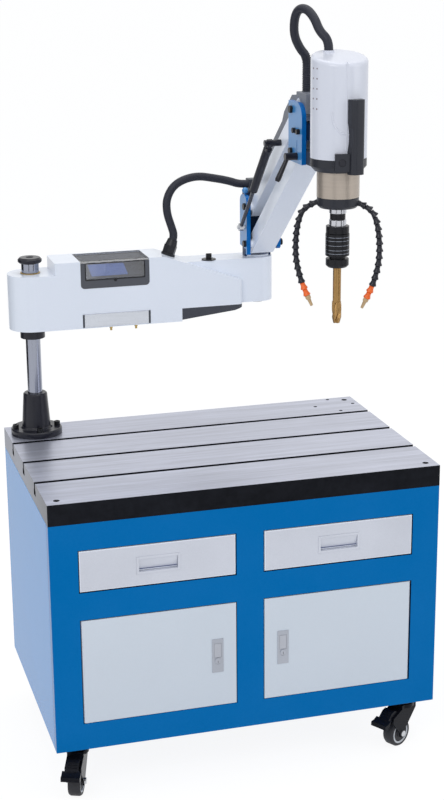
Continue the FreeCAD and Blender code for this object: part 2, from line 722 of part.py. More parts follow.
def castor_fork(name, side, end, bearing):
    """A moulded fork: a round crown over a hood and two cheeks that hold the axle and the pedal's pin."""
    crown_top = "(dim.castor_height - dim.castor_plate_thick - dim.swivel_race_height - dim.running_gap)"
    crown_low = f"({crown_top} - dim.fork_top)"
    hub = "dim.wheel_radius"
    boss = "(dim.axle_radius + 2 * dim.pedal_pin_radius)"
    trail = "dim.wheel_trail"
    crown = "dim.fork_crown_radius"
    ear = f"({PEDAL_PIVOT[0]} + dim.fork_room)"
    corners = [(f"-{crown}", crown_top), (f"-{crown}", f"{crown_low} - {boss}"),
               (f"{trail} - {boss}", f"{hub} + dim.fork_room"),
               (f"{trail} - {boss} / 2", f"{hub} - {boss}"),
               (f"{trail} + {boss} / 2", f"{hub} - {boss}"),
               (f"{trail} + {boss}", f"{hub} + dim.fork_wall"),
               (ear, f"{PEDAL_PIVOT[1]} - dim.fork_room"), (ear, f"{PEDAL_PIVOT[1]} + dim.fork_room"),
               (crown, crown_low), (crown, crown_top)]
    blank = plate(f"fork_blank_{name}", "XZ_Plane", corners, f"-{CHEEK_OUT}", CHEEK_OUT)
    cap = rod(f"fork_crown_{name}", crown, "z", ("0", "0"), (crown_low, crown_top))
    room = rod(f"fork_room_{name}", "dim.wheel_radius + dim.fork_room", "y", (trail, hub),
               (f"-{CHEEK_IN}", CHEEK_IN))
    pocket = block(f"pedal_pocket_{name}", (f"{PEDAL_PIVOT[0]} - dim.pedal_room", f"2 * {ear}"),
                   (f"-{CHEEK_IN}", CHEEK_IN), (f"{PEDAL_PIVOT[1]} - dim.pedal_room", crown_top))
    bore = rod(f"fork_bore_{name}", "dim.axle_radius + dim.shaft_gap", "y", (trail, hub),
               (f"-{CHEEK_OUT}", CHEEK_OUT))
    pin_bore = rod(f"pedal_bore_{name}", "dim.pedal_pin_radius + dim.shaft_gap", "y", PEDAL_PIVOT,
                   (f"-{CHEEK_OUT}", CHEEK_OUT))
    fork = cut(f"fork_{name}", fuse(f"fork_body_{name}", blank, cap), room, pocket, bore, pin_bore)
    axle = rod(f"axle_{name}", "dim.axle_radius", "y", (trail, hub), (f"-{CHEEK_OUT}", CHEEK_OUT))
    nuts = [rod(f"axle_nut_{sense + 1}_{name}", "dim.axle_radius + dim.pedal_pin_radius", "y", (trail, hub),
                (CHEEK_OUT, f"{CHEEK_OUT} + dim.fork_wall") if sense > 0
                else (f"-{CHEEK_OUT} - dim.fork_wall", f"-{CHEEK_OUT}"))
            for sense in (-1, 1)]
    bolt = fuse(f"axle_bolt_{name}", axle, *nuts)
    return turned_about(group(f"castor_fork_{name}", fork, bolt), side, end, bearing)


def castor_wheel(name, side, end, bearing):
    """A crowned tyre on a hub with a shallow dish on each side."""
    half = "dim.wheel_width / 2"
    edge = "dim.wheel_radius"
    stations = [("dim.axle_radius + dim.shaft_gap", f"-{half} - 1"),
                ("dim.axle_radius + 7", f"-{half} - 1"),
                ("dim.axle_radius + 9", f"-{half} + 3"), (f"{edge} - 10", f"-{half} + 3"),
                (f"{edge} - 7", f"-{half}"), (f"{edge} - 3", f"-{half}"), (edge, f"-{half} + 5"),
                (edge, f"{half} - 5"), (f"{edge} - 3", half), (f"{edge} - 7", half),
                (f"{edge} - 10", f"{half} - 3"), ("dim.axle_radius + 9", f"{half} - 3"),
                ("dim.axle_radius + 7", f"{half} + 1"), ("dim.axle_radius + dim.shaft_gap", f"{half} + 1")]
    wheel = turned(f"castor_wheel_{name}", stations)
    x, y = castor_axis(side, end)
    upright = Rotation(Vector(0, 0, 1), bearing).multiply(Rotation(Vector(1, 0, 0), 90))
    wheel.Placement = Placement(Vector(), upright)
    return locate(wheel, f"{x} + dim.wheel_trail * cos({bearing})",
                  f"{y} + dim.wheel_trail * sin({bearing})",
                  "dim.wheel_radius")


PEDAL_PROFILE = [(-10, 13), (-10, 22), (-2, 27), (10, 23), (24, 9), (36, 3), (46, 2), (47, -9), (41, -11),
                 (28, -5), (14, 0), (6, -7), (-5, -7)]
LIP_START = 22


def brake_pedal(name):
    """A foot pedal over the wheel on a cross pin in the fork's ears, with a wide lip at its tip."""
    def on_pivot(corners):
        return [(f"{PEDAL_PIVOT[0]} + {x}", f"{PEDAL_PIVOT[1]} + {z}") for x, z in corners]

    hinge = f"({CHEEK_IN} - dim.running_gap)"
    half = "dim.pedal_width / 2"
    tread = plate(f"pedal_tread_{name}", "XZ_Plane", on_pivot(PEDAL_PROFILE), f"-{half}", half)
    tip = [(x, z) for x, z in PEDAL_PROFILE if x > LIP_START]
    lip = plate(f"pedal_lip_{name}", "XZ_Plane", on_pivot(tip), "-dim.pedal_lip / 2", "dim.pedal_lip / 2")
    barrel = rod(f"pedal_barrel_{name}", "2 * dim.pedal_pin_radius", "y", PEDAL_PIVOT, (f"-{hinge}", hinge))
    pin = rod(f"pedal_pin_{name}", "dim.pedal_pin_radius", "y", PEDAL_PIVOT, (f"-{CHEEK_OUT}", CHEEK_OUT))
    return fuse(f"brake_pedal_{name}", tread, lip, barrel, pin)


# ---------------------------------------------------------------- table

def t_slot_table():
    low_x = f"-{HALF_W}"
    slab = block("table_slab", (low_x, HALF_W), (f"-{HALF_D}", HALF_D), (CABINET_TOP, TABLE_TOP))
    tools = []
    for i in (-1, 0, 1):
        middle = f"(dim.slot_middle + {i} * dim.slot_pitch)"
        tools.append(block(f"slot_neck_{i + 1}", (low_x, HALF_W),
                           (f"{middle} - dim.slot_width / 2", f"{middle} + dim.slot_width / 2"),
                           (above("(-dim.slot_neck)"), TABLE_TOP)))
        foot = "(-dim.slot_neck - dim.slot_foot_height)"
        tools.append(block(f"slot_foot_{i + 1}", (low_x, HALF_W),
                           (f"{middle} - dim.slot_foot_width / 2", f"{middle} + dim.slot_foot_width / 2"),
                           (above(foot), above("(-dim.slot_neck)"))))
    for name, (x, y) in corner_screw_spots().items():
        tools.append(rod(f"counterbore_{name}", "dim.screw_head_radius + dim.running_gap", "z", (x, y),
                         (above("(-dim.screw_head_height)"), TABLE_TOP)))
    for name, x in (("column", "dim.column_x"), ("spare", "dim.spare_column_x")):
        for i in range(4):
            tools.append(rod(f"{name}_hole_{i}", "dim.column_bolt_radius", "z", bolt_spot(x, i),
                             (above("(-dim.column_bolt_depth)"), TABLE_TOP)))
    return cut("t_slot_table", slab, *tools)


def corner_screw_spots():
    """The corner screws; the one beside the column stands clear of its flange."""
    x = f"({HALF_W} - dim.screw_inset)"
    y = f"({HALF_D} - dim.screw_inset)"
    return {"front_left": (f"-{x}", f"-{y}"), "front_right": (x, f"-{y}"), "rear_right": (x, y)}


def bolt_spot(x, index):
    angle = 90 * index
    ring = "dim.column_pattern_diameter / 2"
    return f"{x} + {ring} * cos({angle})", f"dim.column_y + {ring} * sin({angle})"


def table_screws():
    heads = []
    for name, (x, y) in corner_screw_spots().items():
        head = rod(f"screw_head_{name}", "dim.screw_head_radius", "z", (x, y),
                   (above("(-dim.screw_head_height)"), above("(-dim.rim_thick)")))
        socket = rod(f"screw_socket_{name}", "dim.screw_head_radius / 2", "z", (x, y),
                     (above("(-dim.screw_head_height / 2)"), above("(-dim.rim_thick)")))
        heads.append(cut(f"table_screw_{name}", head, socket))
    return heads


# ---------------------------------------------------------------- column

COLUMN = ("dim.column_x", "dim.column_y")


def column_base():
    bore = "(dim.column_radius + dim.shaft_gap)"
    step = "dim.flange_height"
    stations = [(bore, "0"), ("dim.flange_radius", "0"), ("dim.flange_radius", f"{step} - 3"),
                ("dim.flange_radius - 3", step), ("dim.socket_radius + 5", step),
                ("dim.socket_radius", f"{step} + 5"),
                ("dim.socket_top_radius", "dim.socket_height - 3"),
                ("dim.socket_top_radius - 3", "dim.socket_height"), (bore, "dim.socket_height")]
    blank = turned("column_base_blank", stations, *COLUMN, TABLE_TOP)
    holes = [rod(f"flange_hole_{i}", "dim.column_bolt_radius + dim.shaft_gap", "z",
                 bolt_spot("dim.column_x", i), (TABLE_TOP, above("dim.flange_height"))) for i in range(4)]
    return cut("column_base", blank, *holes)


def column_bolts():
    bolts = []
    for i in range(4):
        spot = bolt_spot("dim.column_x", i)
        seat = above("dim.flange_height")
        shank = rod(f"bolt_shank_{i}", "dim.column_bolt_radius", "z", spot,
                    (above("(-dim.column_bolt_depth + dim.running_gap)"), seat))
        head = rod(f"bolt_head_{i}", "dim.screw_head_radius + 0.5", "z", spot,
                   (seat, f"{seat} + 2 * dim.column_bolt_radius"))
        socket = rod(f"bolt_socket_{i}", "dim.column_bolt_radius - 1", "z", spot,
                     (f"{seat} + dim.column_bolt_radius", f"{seat} + 2 * dim.column_bolt_radius"))
        bolts.append(cut(f"column_bolt_{i}", fuse(f"bolt_body_{i}", shank, head), socket))
    return bolts


def column_parts():
    top = above("(dim.hub_high + dim.running_gap)")
    tube = rod("column_post", "dim.column_radius", "z", COLUMN, (TABLE_TOP, top))
    collar_top = above("(dim.arm_low - dim.running_gap)")
    collar = hollow_ring("thrust_collar", "dim.collar_radius", "dim.column_radius + dim.shaft_gap", "z",
                         COLUMN, (f"{collar_top} - dim.collar_height", collar_top))
    neck = rod("column_neck", "dim.neck_radius", "z", COLUMN, (top, f"{top} + dim.neck_height"))
    cap = "dim.cap_radius"
    stations = [("0", "0"), (f"{cap} - 4", "0"), (cap, "4"), (cap, "dim.cap_height - 5"),
                (f"{cap} - 5", "dim.cap_height"), ("10", "dim.cap_height"), ("7", "dim.cap_height - 4"),
                ("0", "dim.cap_height - 4")]
    mushroom = turned("column_cap", stations, *COLUMN, f"{top} + dim.neck_height")
    return group("column_tube", tube, collar, neck), mushroom


# ---------------------------------------------------------------- swing arm

KNUCKLE_X = "(dim.column_x + dim.arm_length)"
KNUCKLE_Y = "dim.column_y"
ARM_FRONT = "(dim.column_y - dim.arm_depth / 2)"
ARM_BACK = "(dim.column_y + dim.arm_depth / 2)"


def from_column(distance):
    """An x place along the swing arm, measured from the column's axis."""
    return f"(dim.column_x + {distance})"


def forward(distance):
    """A y place in front of the knuckle axis."""
    return f"({KNUCKLE_Y} - {distance})"


def sideways(offset):
    """An x place beside the knuckle axis."""
    return f"({KNUCKLE_X} + {offset})"


def arm_beam():
    """The casting: column hub, control box with its sloping end, beam and knuckle hub."""
    arm_low = above("dim.arm_low")
    hub = rod("arm_hub", "dim.arm_depth / 2", "z", COLUMN, (arm_low, above("dim.hub_high")))
    knuckle_low = above("dim.knuckle_low")
    corners = [(from_column("0"), arm_low), (from_column("dim.trim_start"), arm_low),
               (from_column("dim.trim_start"), knuckle_low), (from_column("dim.arm_end"), knuckle_low),
               (from_column("dim.arm_end"), above("dim.slope_low - 5")),
               (from_column("dim.slope_end"), above("dim.slope_low")),
               (from_column("dim.slope_start"), above("dim.box_high")),
               (from_column("dim.box_left"), above("dim.box_high")),
               (from_column("dim.box_left"), above("dim.hub_high")),
               (from_column("0"), above("dim.hub_high"))]
    box = plate("arm_box", "XZ_Plane", corners, ARM_FRONT, ARM_BACK)
    end = size("column_x") + size("arm_end")
    rounded(box, "dim.box_rounding", "z", x=(end - 1, end + 1))
    left = size("column_x") + size("box_left")
    rounded(box, "dim.hub_side_rounding", "z", x=(left - 1, left + 1))
    beam = block("arm_spar", (from_column("dim.window_end"), KNUCKLE_X),
                 (f"{KNUCKLE_Y} - dim.knuckle_radius", f"{KNUCKLE_Y} + dim.knuckle_radius"),
                 (knuckle_low, above("dim.knuckle_high")))
    knuckle = rod("knuckle_hub", "dim.knuckle_radius", "z", (KNUCKLE_X, KNUCKLE_Y),
                  (knuckle_low, above("dim.knuckle_high")))
    solid = fuse("arm_solid", hub, box, beam, knuckle)
    bore = rod("column_bore", "dim.bush_radius", "z", COLUMN, (arm_low, above("dim.hub_high")))
    knuckle_bore = rod("knuckle_bore", "dim.swivel_radius + dim.shaft_gap", "z", (KNUCKLE_X, KNUCKLE_Y),
                       (knuckle_low, above("dim.knuckle_high")))
    window = block("window_hole", (from_column("dim.window_start"), from_column("dim.window_end")),
                   (ARM_FRONT, f"{ARM_BACK} - dim.window_back"),
                   (above("dim.window_low"), above("dim.box_high")))
    fluid = block("fluid_recess", (from_column("dim.fluid_start"), from_column("dim.fluid_end")),
                  (ARM_FRONT, f"{ARM_FRONT} + dim.fluid_depth"),
                  (above("dim.fluid_low"), above("dim.fluid_high")))
    return cut("arm_beam", solid, bore, knuckle_bore, window, fluid)


def arm_bushes():
    low = above("dim.arm_low")
    high = above("dim.hub_high")
    inner = "dim.column_radius + dim.shaft_gap"
    lower = hollow_ring("lower_bush", "dim.bush_radius", inner, "z", COLUMN,
                        (low, f"{low} + dim.bush_height"))
    upper = hollow_ring("upper_bush", "dim.bush_radius", inner, "z", COLUMN,
                        (f"{high} - dim.bush_height", high))
    return group("arm_bushes", lower, upper)


def lower_trim():
    corners = [(from_column("dim.trim_start"), above("dim.trim_low")),
               (from_column("dim.arm_end - 22"), above("dim.trim_low + 16")),
               (from_column("dim.arm_end"), above("dim.trim_low + 23")),
               (from_column("dim.arm_end"), above("dim.knuckle_low")),
               (from_column("dim.trim_start"), above("dim.knuckle_low"))]
    trim = plate("lower_trim", "XZ_Plane", corners, ARM_FRONT, ARM_BACK)
    end = size("column_x") + size("arm_end")
    return rounded(trim, "dim.trim_rounding", "z", x=(end - 1, end + 1))


def fluid_fittings():
    """Two hose barbs under the arm for oil and air."""
    fittings = []
    middle = f"({ARM_FRONT} + 20)"
    for i, along in enumerate(("dim.fluid_start + 79.4", "dim.fluid_end - 36.2")):
        top = above("dim.arm_low")
        spot = (from_column(along), middle)
        stem = rod(f"barb_stem_{i}", "dim.fitting_radius - 1.5", "z", spot,
                   (f"{top} - dim.fitting_length", top))
        hexagon = rod(f"barb_nut_{i}", "dim.fitting_radius", "z", spot,
                      (f"{top} - dim.fitting_length / 2", top))
        fittings.append(fuse(f"fitting_{i}", stem, hexagon))
    return fittings


WINDOW_X = (from_column("dim.window_start"), from_column("dim.window_end"))
WINDOW_BACK = f"({ARM_BACK} - dim.window_back)"
LID_LOW = above("(dim.box_high - dim.lid_thick)")


def controller_frame():
    """The black tray that lines the window, open to the front and the top."""
    low = above("dim.window_low")
    lid_room = f"({LID_LOW} - dim.running_gap)"
    front = f"({ARM_FRONT} + dim.lid_thick + dim.running_gap)"
    outer = block("tray_outside", WINDOW_X, (front, WINDOW_BACK), (low, lid_room))
    inner = block("tray_inside", (f"{WINDOW_X[0]} + dim.window_wall", f"{WINDOW_X[1]} - dim.window_wall"),
                  (front, f"{WINDOW_BACK} - dim.window_wall"), (f"{low} + dim.window_wall", lid_room))
    return cut("controller_frame", outer, inner)


def control_panel():
    """The sloping touch panel on the tray's floor."""
    floor = above("(dim.window_low + dim.window_wall)")
    front = f"({ARM_FRONT} + dim.lid_thick + 6)"
    back = f"({WINDOW_BACK} - dim.window_wall)"
    corners = [(front, floor), (back, floor), (back, f"{floor} + dim.panel_rise"),
               (f"{back} - 12", f"{floor} + dim.panel_rise"), (front, f"{floor} + 12")]
    gap = "(dim.window_wall + dim.running_gap)"
    return plate("control_panel", "YZ_Plane", corners, f"{WINDOW_X[0]} + {gap}", f"{WINDOW_X[1]} - {gap}")


def controller_lid():
    """The smoked lid, an angle over the top and the front of the window, hinged at the back."""
    gap = "dim.running_gap"
    x = (f"{WINDOW_X[0]} + {gap}", f"{WINDOW_X[1]} - {gap}")
    low = f"({above('dim.window_low')} + {gap})"
    high = above("dim.box_high")
    inside = f"({ARM_FRONT} + dim.lid_thick)"
    corners = [(ARM_FRONT, low), (inside, low), (inside, LID_LOW), (f"{WINDOW_BACK} - {gap}", LID_LOW),
               (f"{WINDOW_BACK} - {gap}", high), (f"{ARM_FRONT} + 6", high), (ARM_FRONT, f"{high} - 6")]
    lid = plate("controller_lid", "YZ_Plane", corners, *x)
    back = size("column_y") + size("arm_depth") / 2 - size("window_back")
    return rounded(lid, "dim.lid_thick / 2 - dim.shaft_gap", "x", y=(back - 1, back + 1))


def cable_gland():
    """A washer, a hexagon and a domed nut, square to the slope they stand on."""
    washer = rod("gland_washer", "dim.gland_radius", "z", ("0", "0"), ("0", "dim.gland_height / 8"))
    nut = doc.addObject("Part::Prism", "gland_nut")
    nut.Polygon = 6
    nut.setExpression("Circumradius", "dim.gland_radius - 1")
    nut.setExpression("Height", "dim.gland_height / 2")
    locate(nut, z="dim.gland_height / 8")
    dome = doc.addObject("Part::Cone", "gland_dome")
    dome.setExpression("Radius1", "dim.gland_radius - 3")
    dome.setExpression("Radius2", "dim.cable_radius + 2")
    dome.setExpression("Height", "3 * dim.gland_height / 8")
    locate(dome, z="5 * dim.gland_height / 8")
    gland = fuse("cable_gland", washer, nut, dome)
    gland.Placement = Placement(Vector(), Rotation(Vector(0, 1, 0), math.degrees(slope_angle())))
    return locate(gland, from_column("dim.gland_x"), KNUCKLE_Y, above(SLOPE_AT_GLAND))


def slope_angle():
    """How far the arm's top falls over its sloping part, in radians."""
    return math.atan2(size("box_high") - size("slope_low"), size("slope_end") - size("slope_start"))


SLOPE_AT_GLAND = ("(dim.box_high - (dim.gland_x - dim.slope_start) * (dim.box_high - dim.slope_low)"
                  " / (dim.slope_end - dim.slope_start))")


def arm_lock_knob():
    """A clamp disc with a small wing, on top of the beam."""
    x = from_column("dim.lock_knob_x")
    y = f"({KNUCKLE_Y} - dim.lock_knob_y)"
    seat = above("(dim.knuckle_high + dim.running_gap)")
    disc = rod("lock_disc", "dim.lock_disc_radius", "z", (x, y), (seat, f"{seat} + dim.lock_disc_thick"))
    hub = rod("lock_hub", "dim.lock_hub_radius", "z", (x, y), (seat, f"{seat} + dim.lock_hub_high"))
    wing = block("lock_wing", (f"{x} - dim.lock_wing_width / 2", f"{x} + dim.lock_wing_width / 2"),
                 (f"{y} - dim.lock_wing_thick / 2", f"{y} + dim.lock_wing_thick / 2"),
                 (f"{seat} + dim.lock_disc_thick", f"{seat} + dim.lock_wing_high"))
    return fuse("arm_lock_knob", disc, hub, wing)


# ---------------------------------------------------------------- turret

def turret_cheek(name, side):
    """A side plate with a rounded top; the left one has a tab down its front edge."""
    inner = "dim.cheek_inside"
    outer = "(dim.cheek_inside + dim.cheek_thick)"
    x = (sideways(inner), sideways(outer)) if side > 0 else (sideways(f"-{outer}"), sideways(f"-{inner}"))
    low = above("dim.turret_cheek_low")
    high = above("dim.turret_cheek_high")
    back = forward("dim.turret_cheek_back")
    front = forward("dim.turret_cheek_front")
    if side < 0:
        foot = [(front, f"{low} - 18"), (f"{front} + 10", f"{low} - 18"), (f"{front} + 10", f"{low} - 4")]
    else:
        foot = [(front, low), (f"{front} + 6", f"{low} - 6")]
    corners = [(back, high), (front, high)] + foot + [(back, low)]
    cheek = plate(f"turret_cheek_{name}", "YZ_Plane", corners, *x)
    top = size("castor_height") + size("cabinet_height") + size("table_thick") + size("turret_cheek_high")
    return rounded(cheek, "dim.cheek_rounding", "x", z=(top - 1, top + 1))


def pivot_bores(prefix, along, heights, radius, reach="(dim.cheek_inside + dim.cheek_thick)"):
    return [rod(f"{prefix}_bore_{i}", radius, "x", (along, height),
                (sideways(f"-{reach}"), sideways(reach)))
            for i, height in enumerate(heights)]


LOWER_PIVOT_Y = forward("dim.pivot_forward")
LOWER_PIVOTS = (above("dim.pivot_high"), above("(dim.pivot_high + dim.pivot_spacing)"))
LINK_RUN = "dim.link_length * cos(dim.link_elevation)"
LINK_RISE = "dim.link_length * sin(dim.link_elevation)"
UPPER_PIVOT_Y = forward(f"(dim.pivot_forward + {LINK_RUN})")
UPPER_PIVOTS = (above(f"(dim.pivot_high + {LINK_RISE})"),
                above(f"(dim.pivot_high + dim.pivot_spacing + {LINK_RISE})"))


def turret_bracket():
    disc_low = above("(dim.knuckle_high + dim.running_gap)")
    disc = rod("turret_disc", "dim.turret_disc_radius", "z", (KNUCKLE_X, KNUCKLE_Y),
               (disc_low, f"{disc_low} + dim.turret_disc_height"))
    web = block("turret_web", (sideways("-dim.cheek_inside"), sideways("dim.cheek_inside")),
                (forward("dim.turret_web_front"), forward("(-dim.turret_web_back)")),
                (disc_low, above("dim.turret_cheek_high")))
    solid = fuse("turret_solid", disc, web, turret_cheek("left", -1), turret_cheek("right", 1))
    bores = pivot_bores("turret", LOWER_PIVOT_Y, LOWER_PIVOTS, "dim.pivot_radius + dim.shaft_gap")
    stem = rod("plunger_bore", "2.5 + dim.shaft_gap", "z", plunger_spot(),
               (f"{above('dim.turret_cheek_high')} - 14", above("dim.turret_cheek_high")))
    return cut("turret_bracket", solid, stem, *bores)


def plunger_spot():
    return sideways("(-dim.cheek_inside - dim.cheek_thick / 2)"), forward("(dim.pivot_forward - 20)")


def turret_plunger():
    """The ball-headed locking pin in the top of the left cheek."""
    top = above("dim.turret_cheek_high")
    pin = rod("plunger_pin", "2.5", "z", plunger_spot(), (f"{top} - 10", f"{top} + 6"))
    ball = doc.addObject("Part::Sphere", "plunger_ball")
    ball.Radius = 8.5
    locate(ball, *plunger_spot(), f"{top} + 11")
    return fuse("turret_plunger", pin, ball)


def swivel_shaft():
    """The turret's pin through the knuckle hub, with the cap that holds it from below."""
    seat = above("(dim.knuckle_low - dim.running_gap)")
    shaft = rod("swivel_pin", "dim.swivel_radius", "z", (KNUCKLE_X, KNUCKLE_Y),
                (seat, above("(dim.knuckle_high + dim.running_gap)")))
    cap = rod("swivel_cap", "dim.swivel_cap_radius", "z", (KNUCKLE_X, KNUCKLE_Y),
              (f"{seat} - dim.swivel_cap_height", seat))
    return fuse("swivel_shaft", shaft, cap)


def pivot_pins(label, along, heights):
    """Shoulder bolts across a bracket, each with a head on both cheeks."""
    outer = "(dim.cheek_inside + dim.cheek_thick)"
    pins = []
    for i, height in enumerate(heights):
        shank = rod(f"{label}_shank_{i}", "dim.pivot_radius", "x", (along, height),
                    (sideways(f"-{outer}"), sideways(outer)))
        heads = [rod(f"{label}_head_{i}_{side + 1}", "dim.pivot_head_radius", "x", (along, height),
                     (sideways(outer), sideways(f"({outer} + dim.pivot_head)")) if side > 0 else
                     (sideways(f"(-{outer} - dim.pivot_head)"), sideways(f"-{outer}")))
                 for side in (-1, 1)]
        pins.append(fuse(f"{label}_{i}", shank, *heads))
    return pins


def turret_cable_box():
    low = above("dim.turret_cheek_high")
    return block("turret_cable_box", (sideways("-dim.junction_half"), sideways("dim.junction_half")),
                 (forward("dim.turret_web_front"), forward("-20")), (low, f"{low} + dim.junction_height"))


# ---------------------------------------------------------------- links

def link_blank(label, corners, height, half):
    """A bar drawn level from its lower pivot, then raised to the link's elevation."""
    body = plate(label, "YZ_Plane", corners, f"-{half}", half)
    body.Placement = Placement(Vector(), Rotation(Vector(-1, 0, 0), 1))
    body.setExpression("Placement.Rotation.Angle", "dim.link_elevation")
    return locate(body, sideways(f"-{half}"), LOWER_PIVOT_Y, height)


def link(label, height, *studs):
    """A channel casting, closed round both pivots and open along its top."""
    over = "dim.link_over"
    under = "-dim.link_under"
    tail = "dim.link_tail"
    nose = "-(dim.link_length + dim.link_nose)"
    blank = link_blank(f"{label}_blank", [(tail, under), (tail, over), (nose, over), (nose, under)],
                       height, "dim.link_half_width")
    slot_half = "(dim.link_half_width - dim.link_wall)"
    start = "-dim.link_nose"
    end = "-(dim.link_length - dim.link_nose)"
    floor = "(dim.link_wall - dim.link_under)"
    room = link_blank(f"{label}_room", [(start, floor), (start, over), (end, over), (end, floor)],
                      height, slot_half)
    side = "dim.cheek_inside"
    bore = "dim.pivot_radius + dim.shaft_gap"
    near = rod(f"{label}_near_bore", bore, "x", (LOWER_PIVOT_Y, height),
               (sideways(f"-{side}"), sideways(side)))
    far = rod(f"{label}_far_bore", bore, "x", (UPPER_PIVOT_Y, f"{height} + {LINK_RISE}"),
              (sideways(f"-{side}"), sideways(side)))
    solid = fuse(f"{label}_solid", rounded_ends(blank), *link_bosses(label, height), *studs)
    return cut(label, solid, room, near, far)


def rounded_ends(blank):
    """Rounds the four end edges of a level link blank."""
    doc.recompute()
    pad = blank.Tip
    names = [f"Edge{i}" for i, edge in enumerate(pad.Shape.Edges, start=1) if bound_check(edge, "x", {})]
    fillet = blank.newObject("PartDesign::Fillet", blank.Name + "_rounding")
    fillet.Base = (pad, names)
    fillet.setExpression("Radius", "dim.link_under - 4")
    blank.Tip = fillet
    return blank


def link_bosses(label, height):
    """Bosses that fill the gap between a link and the cheeks at both pivots."""
    outer = "(dim.cheek_inside - dim.running_gap)"
    return [rod(f"{label}_{name}_boss", "dim.pivot_radius + 6", "x", (y, z),
                (sideways(f"-{outer}"), sideways(outer)))
            for name, y, z in (("near", LOWER_PIVOT_Y, height),
                               ("far", UPPER_PIVOT_Y, f"{height} + {LINK_RISE}"))]


def link_cover():
    """The cable duct on the upper link, raised towards its upper end."""
    seat = "dim.link_over"
    top = f"({seat} + dim.cover_height)"
    crest = f"({top} + dim.cover_step)"
    start = "-dim.cover_start"
    kink = "-dim.cover_step_start"
    rise = "-(dim.cover_step_start + dim.cover_step_length)"
    end = "-dim.cover_end"
    wall = "dim.cover_wall"
    outer = link_blank("cover_outside", [(start, seat), (start, top), (kink, top), (rise, crest), (end,
                                                                                                   crest),
                                         (end, seat)], LOWER_PIVOTS[1], "dim.link_half_width")
    inner = link_blank("cover_inside", [(f"{start} - {wall}", seat), (f"{start} - {wall}",
                                                                      f"{top} - {wall}"),
                                        (kink, f"{top} - {wall}"), (rise, f"{crest} - {wall}"),
                                        (f"{end} + {wall}", f"{crest} - {wall}"),
                                        (f"{end} + {wall}", seat)],
                       LOWER_PIVOTS[1], "(dim.link_half_width - dim.cover_wall)")
    return cut("link_cover", outer, inner)


# ---------------------------------------------------------------- gas spring

def point_on_link(along, over):
    """A point of the upper link in the machine's frame."""
    angle = math.radians(size("link_elevation"))
    y = size("column_y") - size("pivot_forward") - along * math.cos(angle) + over * math.sin(angle)
    z = (size("castor_height") + size("cabinet_height") + size("table_thick") + size("pivot_high")
         + size("pivot_spacing") + along * math.sin(angle) + over * math.cos(angle))
    return Vector(spring_x(), y, z)


def spring_x():
    return size("column_x") + size("arm_length") - size("spring_side")


def spring_foot():
    z = size("castor_height") + size("cabinet_height") + size("table_thick") + size("spring_low_high")
    return Vector(spring_x(), size("column_y") - size("pivot_forward"), z)


def set_along(obj, start, end):
    """Turns a piece drawn up the Z axis so that it runs from start towards end."""
    obj.Placement = Placement(start, Rotation(Vector(0, 0, 1), end.sub(start)))
    return obj


def across(label, radius, centre, low, high):
    """A round solid along X through a point."""
    shape = Part.makeCylinder(radius, high - low, Vector(low, centre.y, centre.z), Vector(1, 0, 0))
    piece = doc.addObject("Part::Feature", label)
    piece.Shape = shape
    return piece


def gas_spring():
    """Cylinder hung from a stud on the upper link, rod standing on its stud in the turret."""
    top = point_on_link(size("spring_link_along"), size("spring_link_over"))
    foot = spring_foot()
    half = size("spring_eye_thick") / 2
    eye = size("spring_eye_radius")
    stud = size("stud_radius")
    gap = size("running_gap")
    reach = foot.sub(top).Length
    barrel_end = f"{eye} - 2 + dim.spring_cylinder_length"
    tube = turned("spring_barrel", [("0", f"{eye} - 2"), ("5", f"{eye} - 2"), ("5", f"{eye} + 8"),
                                    ("dim.spring_radius", f"{eye} + 12"), ("dim.spring_radius", barrel_end),
                                    ("dim.spring_rod_radius + dim.shaft_gap", barrel_end),
                                    ("dim.spring_rod_radius + dim.shaft_gap", f"{eye} + 20"),
                                    ("0", f"{eye} + 20")])
    set_along(tube, top, foot)
    eye_ring = across("spring_top_eye", eye, top, top.x - half, top.x + half)
    eye_bore = across("spring_top_bore", stud + size("shaft_gap"), top, top.x - half, top.x + half)
    cylinder = cut("gas_spring_cylinder", fuse("spring_cylinder_solid", tube, eye_ring), eye_bore)
    inside = size("spring_cylinder_length") - 60
    shaft = turned("spring_shaft", [("0", f"{eye} - 2"), ("dim.spring_rod_radius", f"{eye} - 2"),
                                    ("dim.spring_rod_radius", str(reach - inside - eye)),
                                    ("0", str(reach - inside - eye))])
    set_along(shaft, foot, top)
    link_side = size("column_x") + size("arm_length") - size("link_half_width")
    cheek_side = (size("column_x") + size("arm_length") - size("cheek_inside") - size("cheek_thick"))
    foot_eye = across("spring_foot_eye", eye, foot, foot.x - half, foot.x + half)
    foot_stud = across("spring_foot_stud", stud, foot, foot.x - half - 4, cheek_side - gap)
    rod_piece = fuse("gas_spring_rod", shaft, foot_eye, foot_stud)
    stem = across("upper_stud_stem", stud, top, top.x - half - 4, link_side)
    head = across("upper_stud_head", eye - 2, top, top.x - half - 8, top.x - half - gap)
    shoulder = across("upper_stud_shoulder", eye - 2, top, top.x + half + gap, link_side)
    return cylinder, rod_piece, [stem, head, shoulder]


# ---------------------------------------------------------------- upper bracket

def ahead(distance):
    """A y place in front of the upper pivots."""
    return forward(f"(dim.pivot_forward + {LINK_RUN} + {distance})")


TILT_Y = ahead("dim.tilt_forward")
TILT_Z = f"({UPPER_PIVOTS[0]} - dim.tilt_under)"


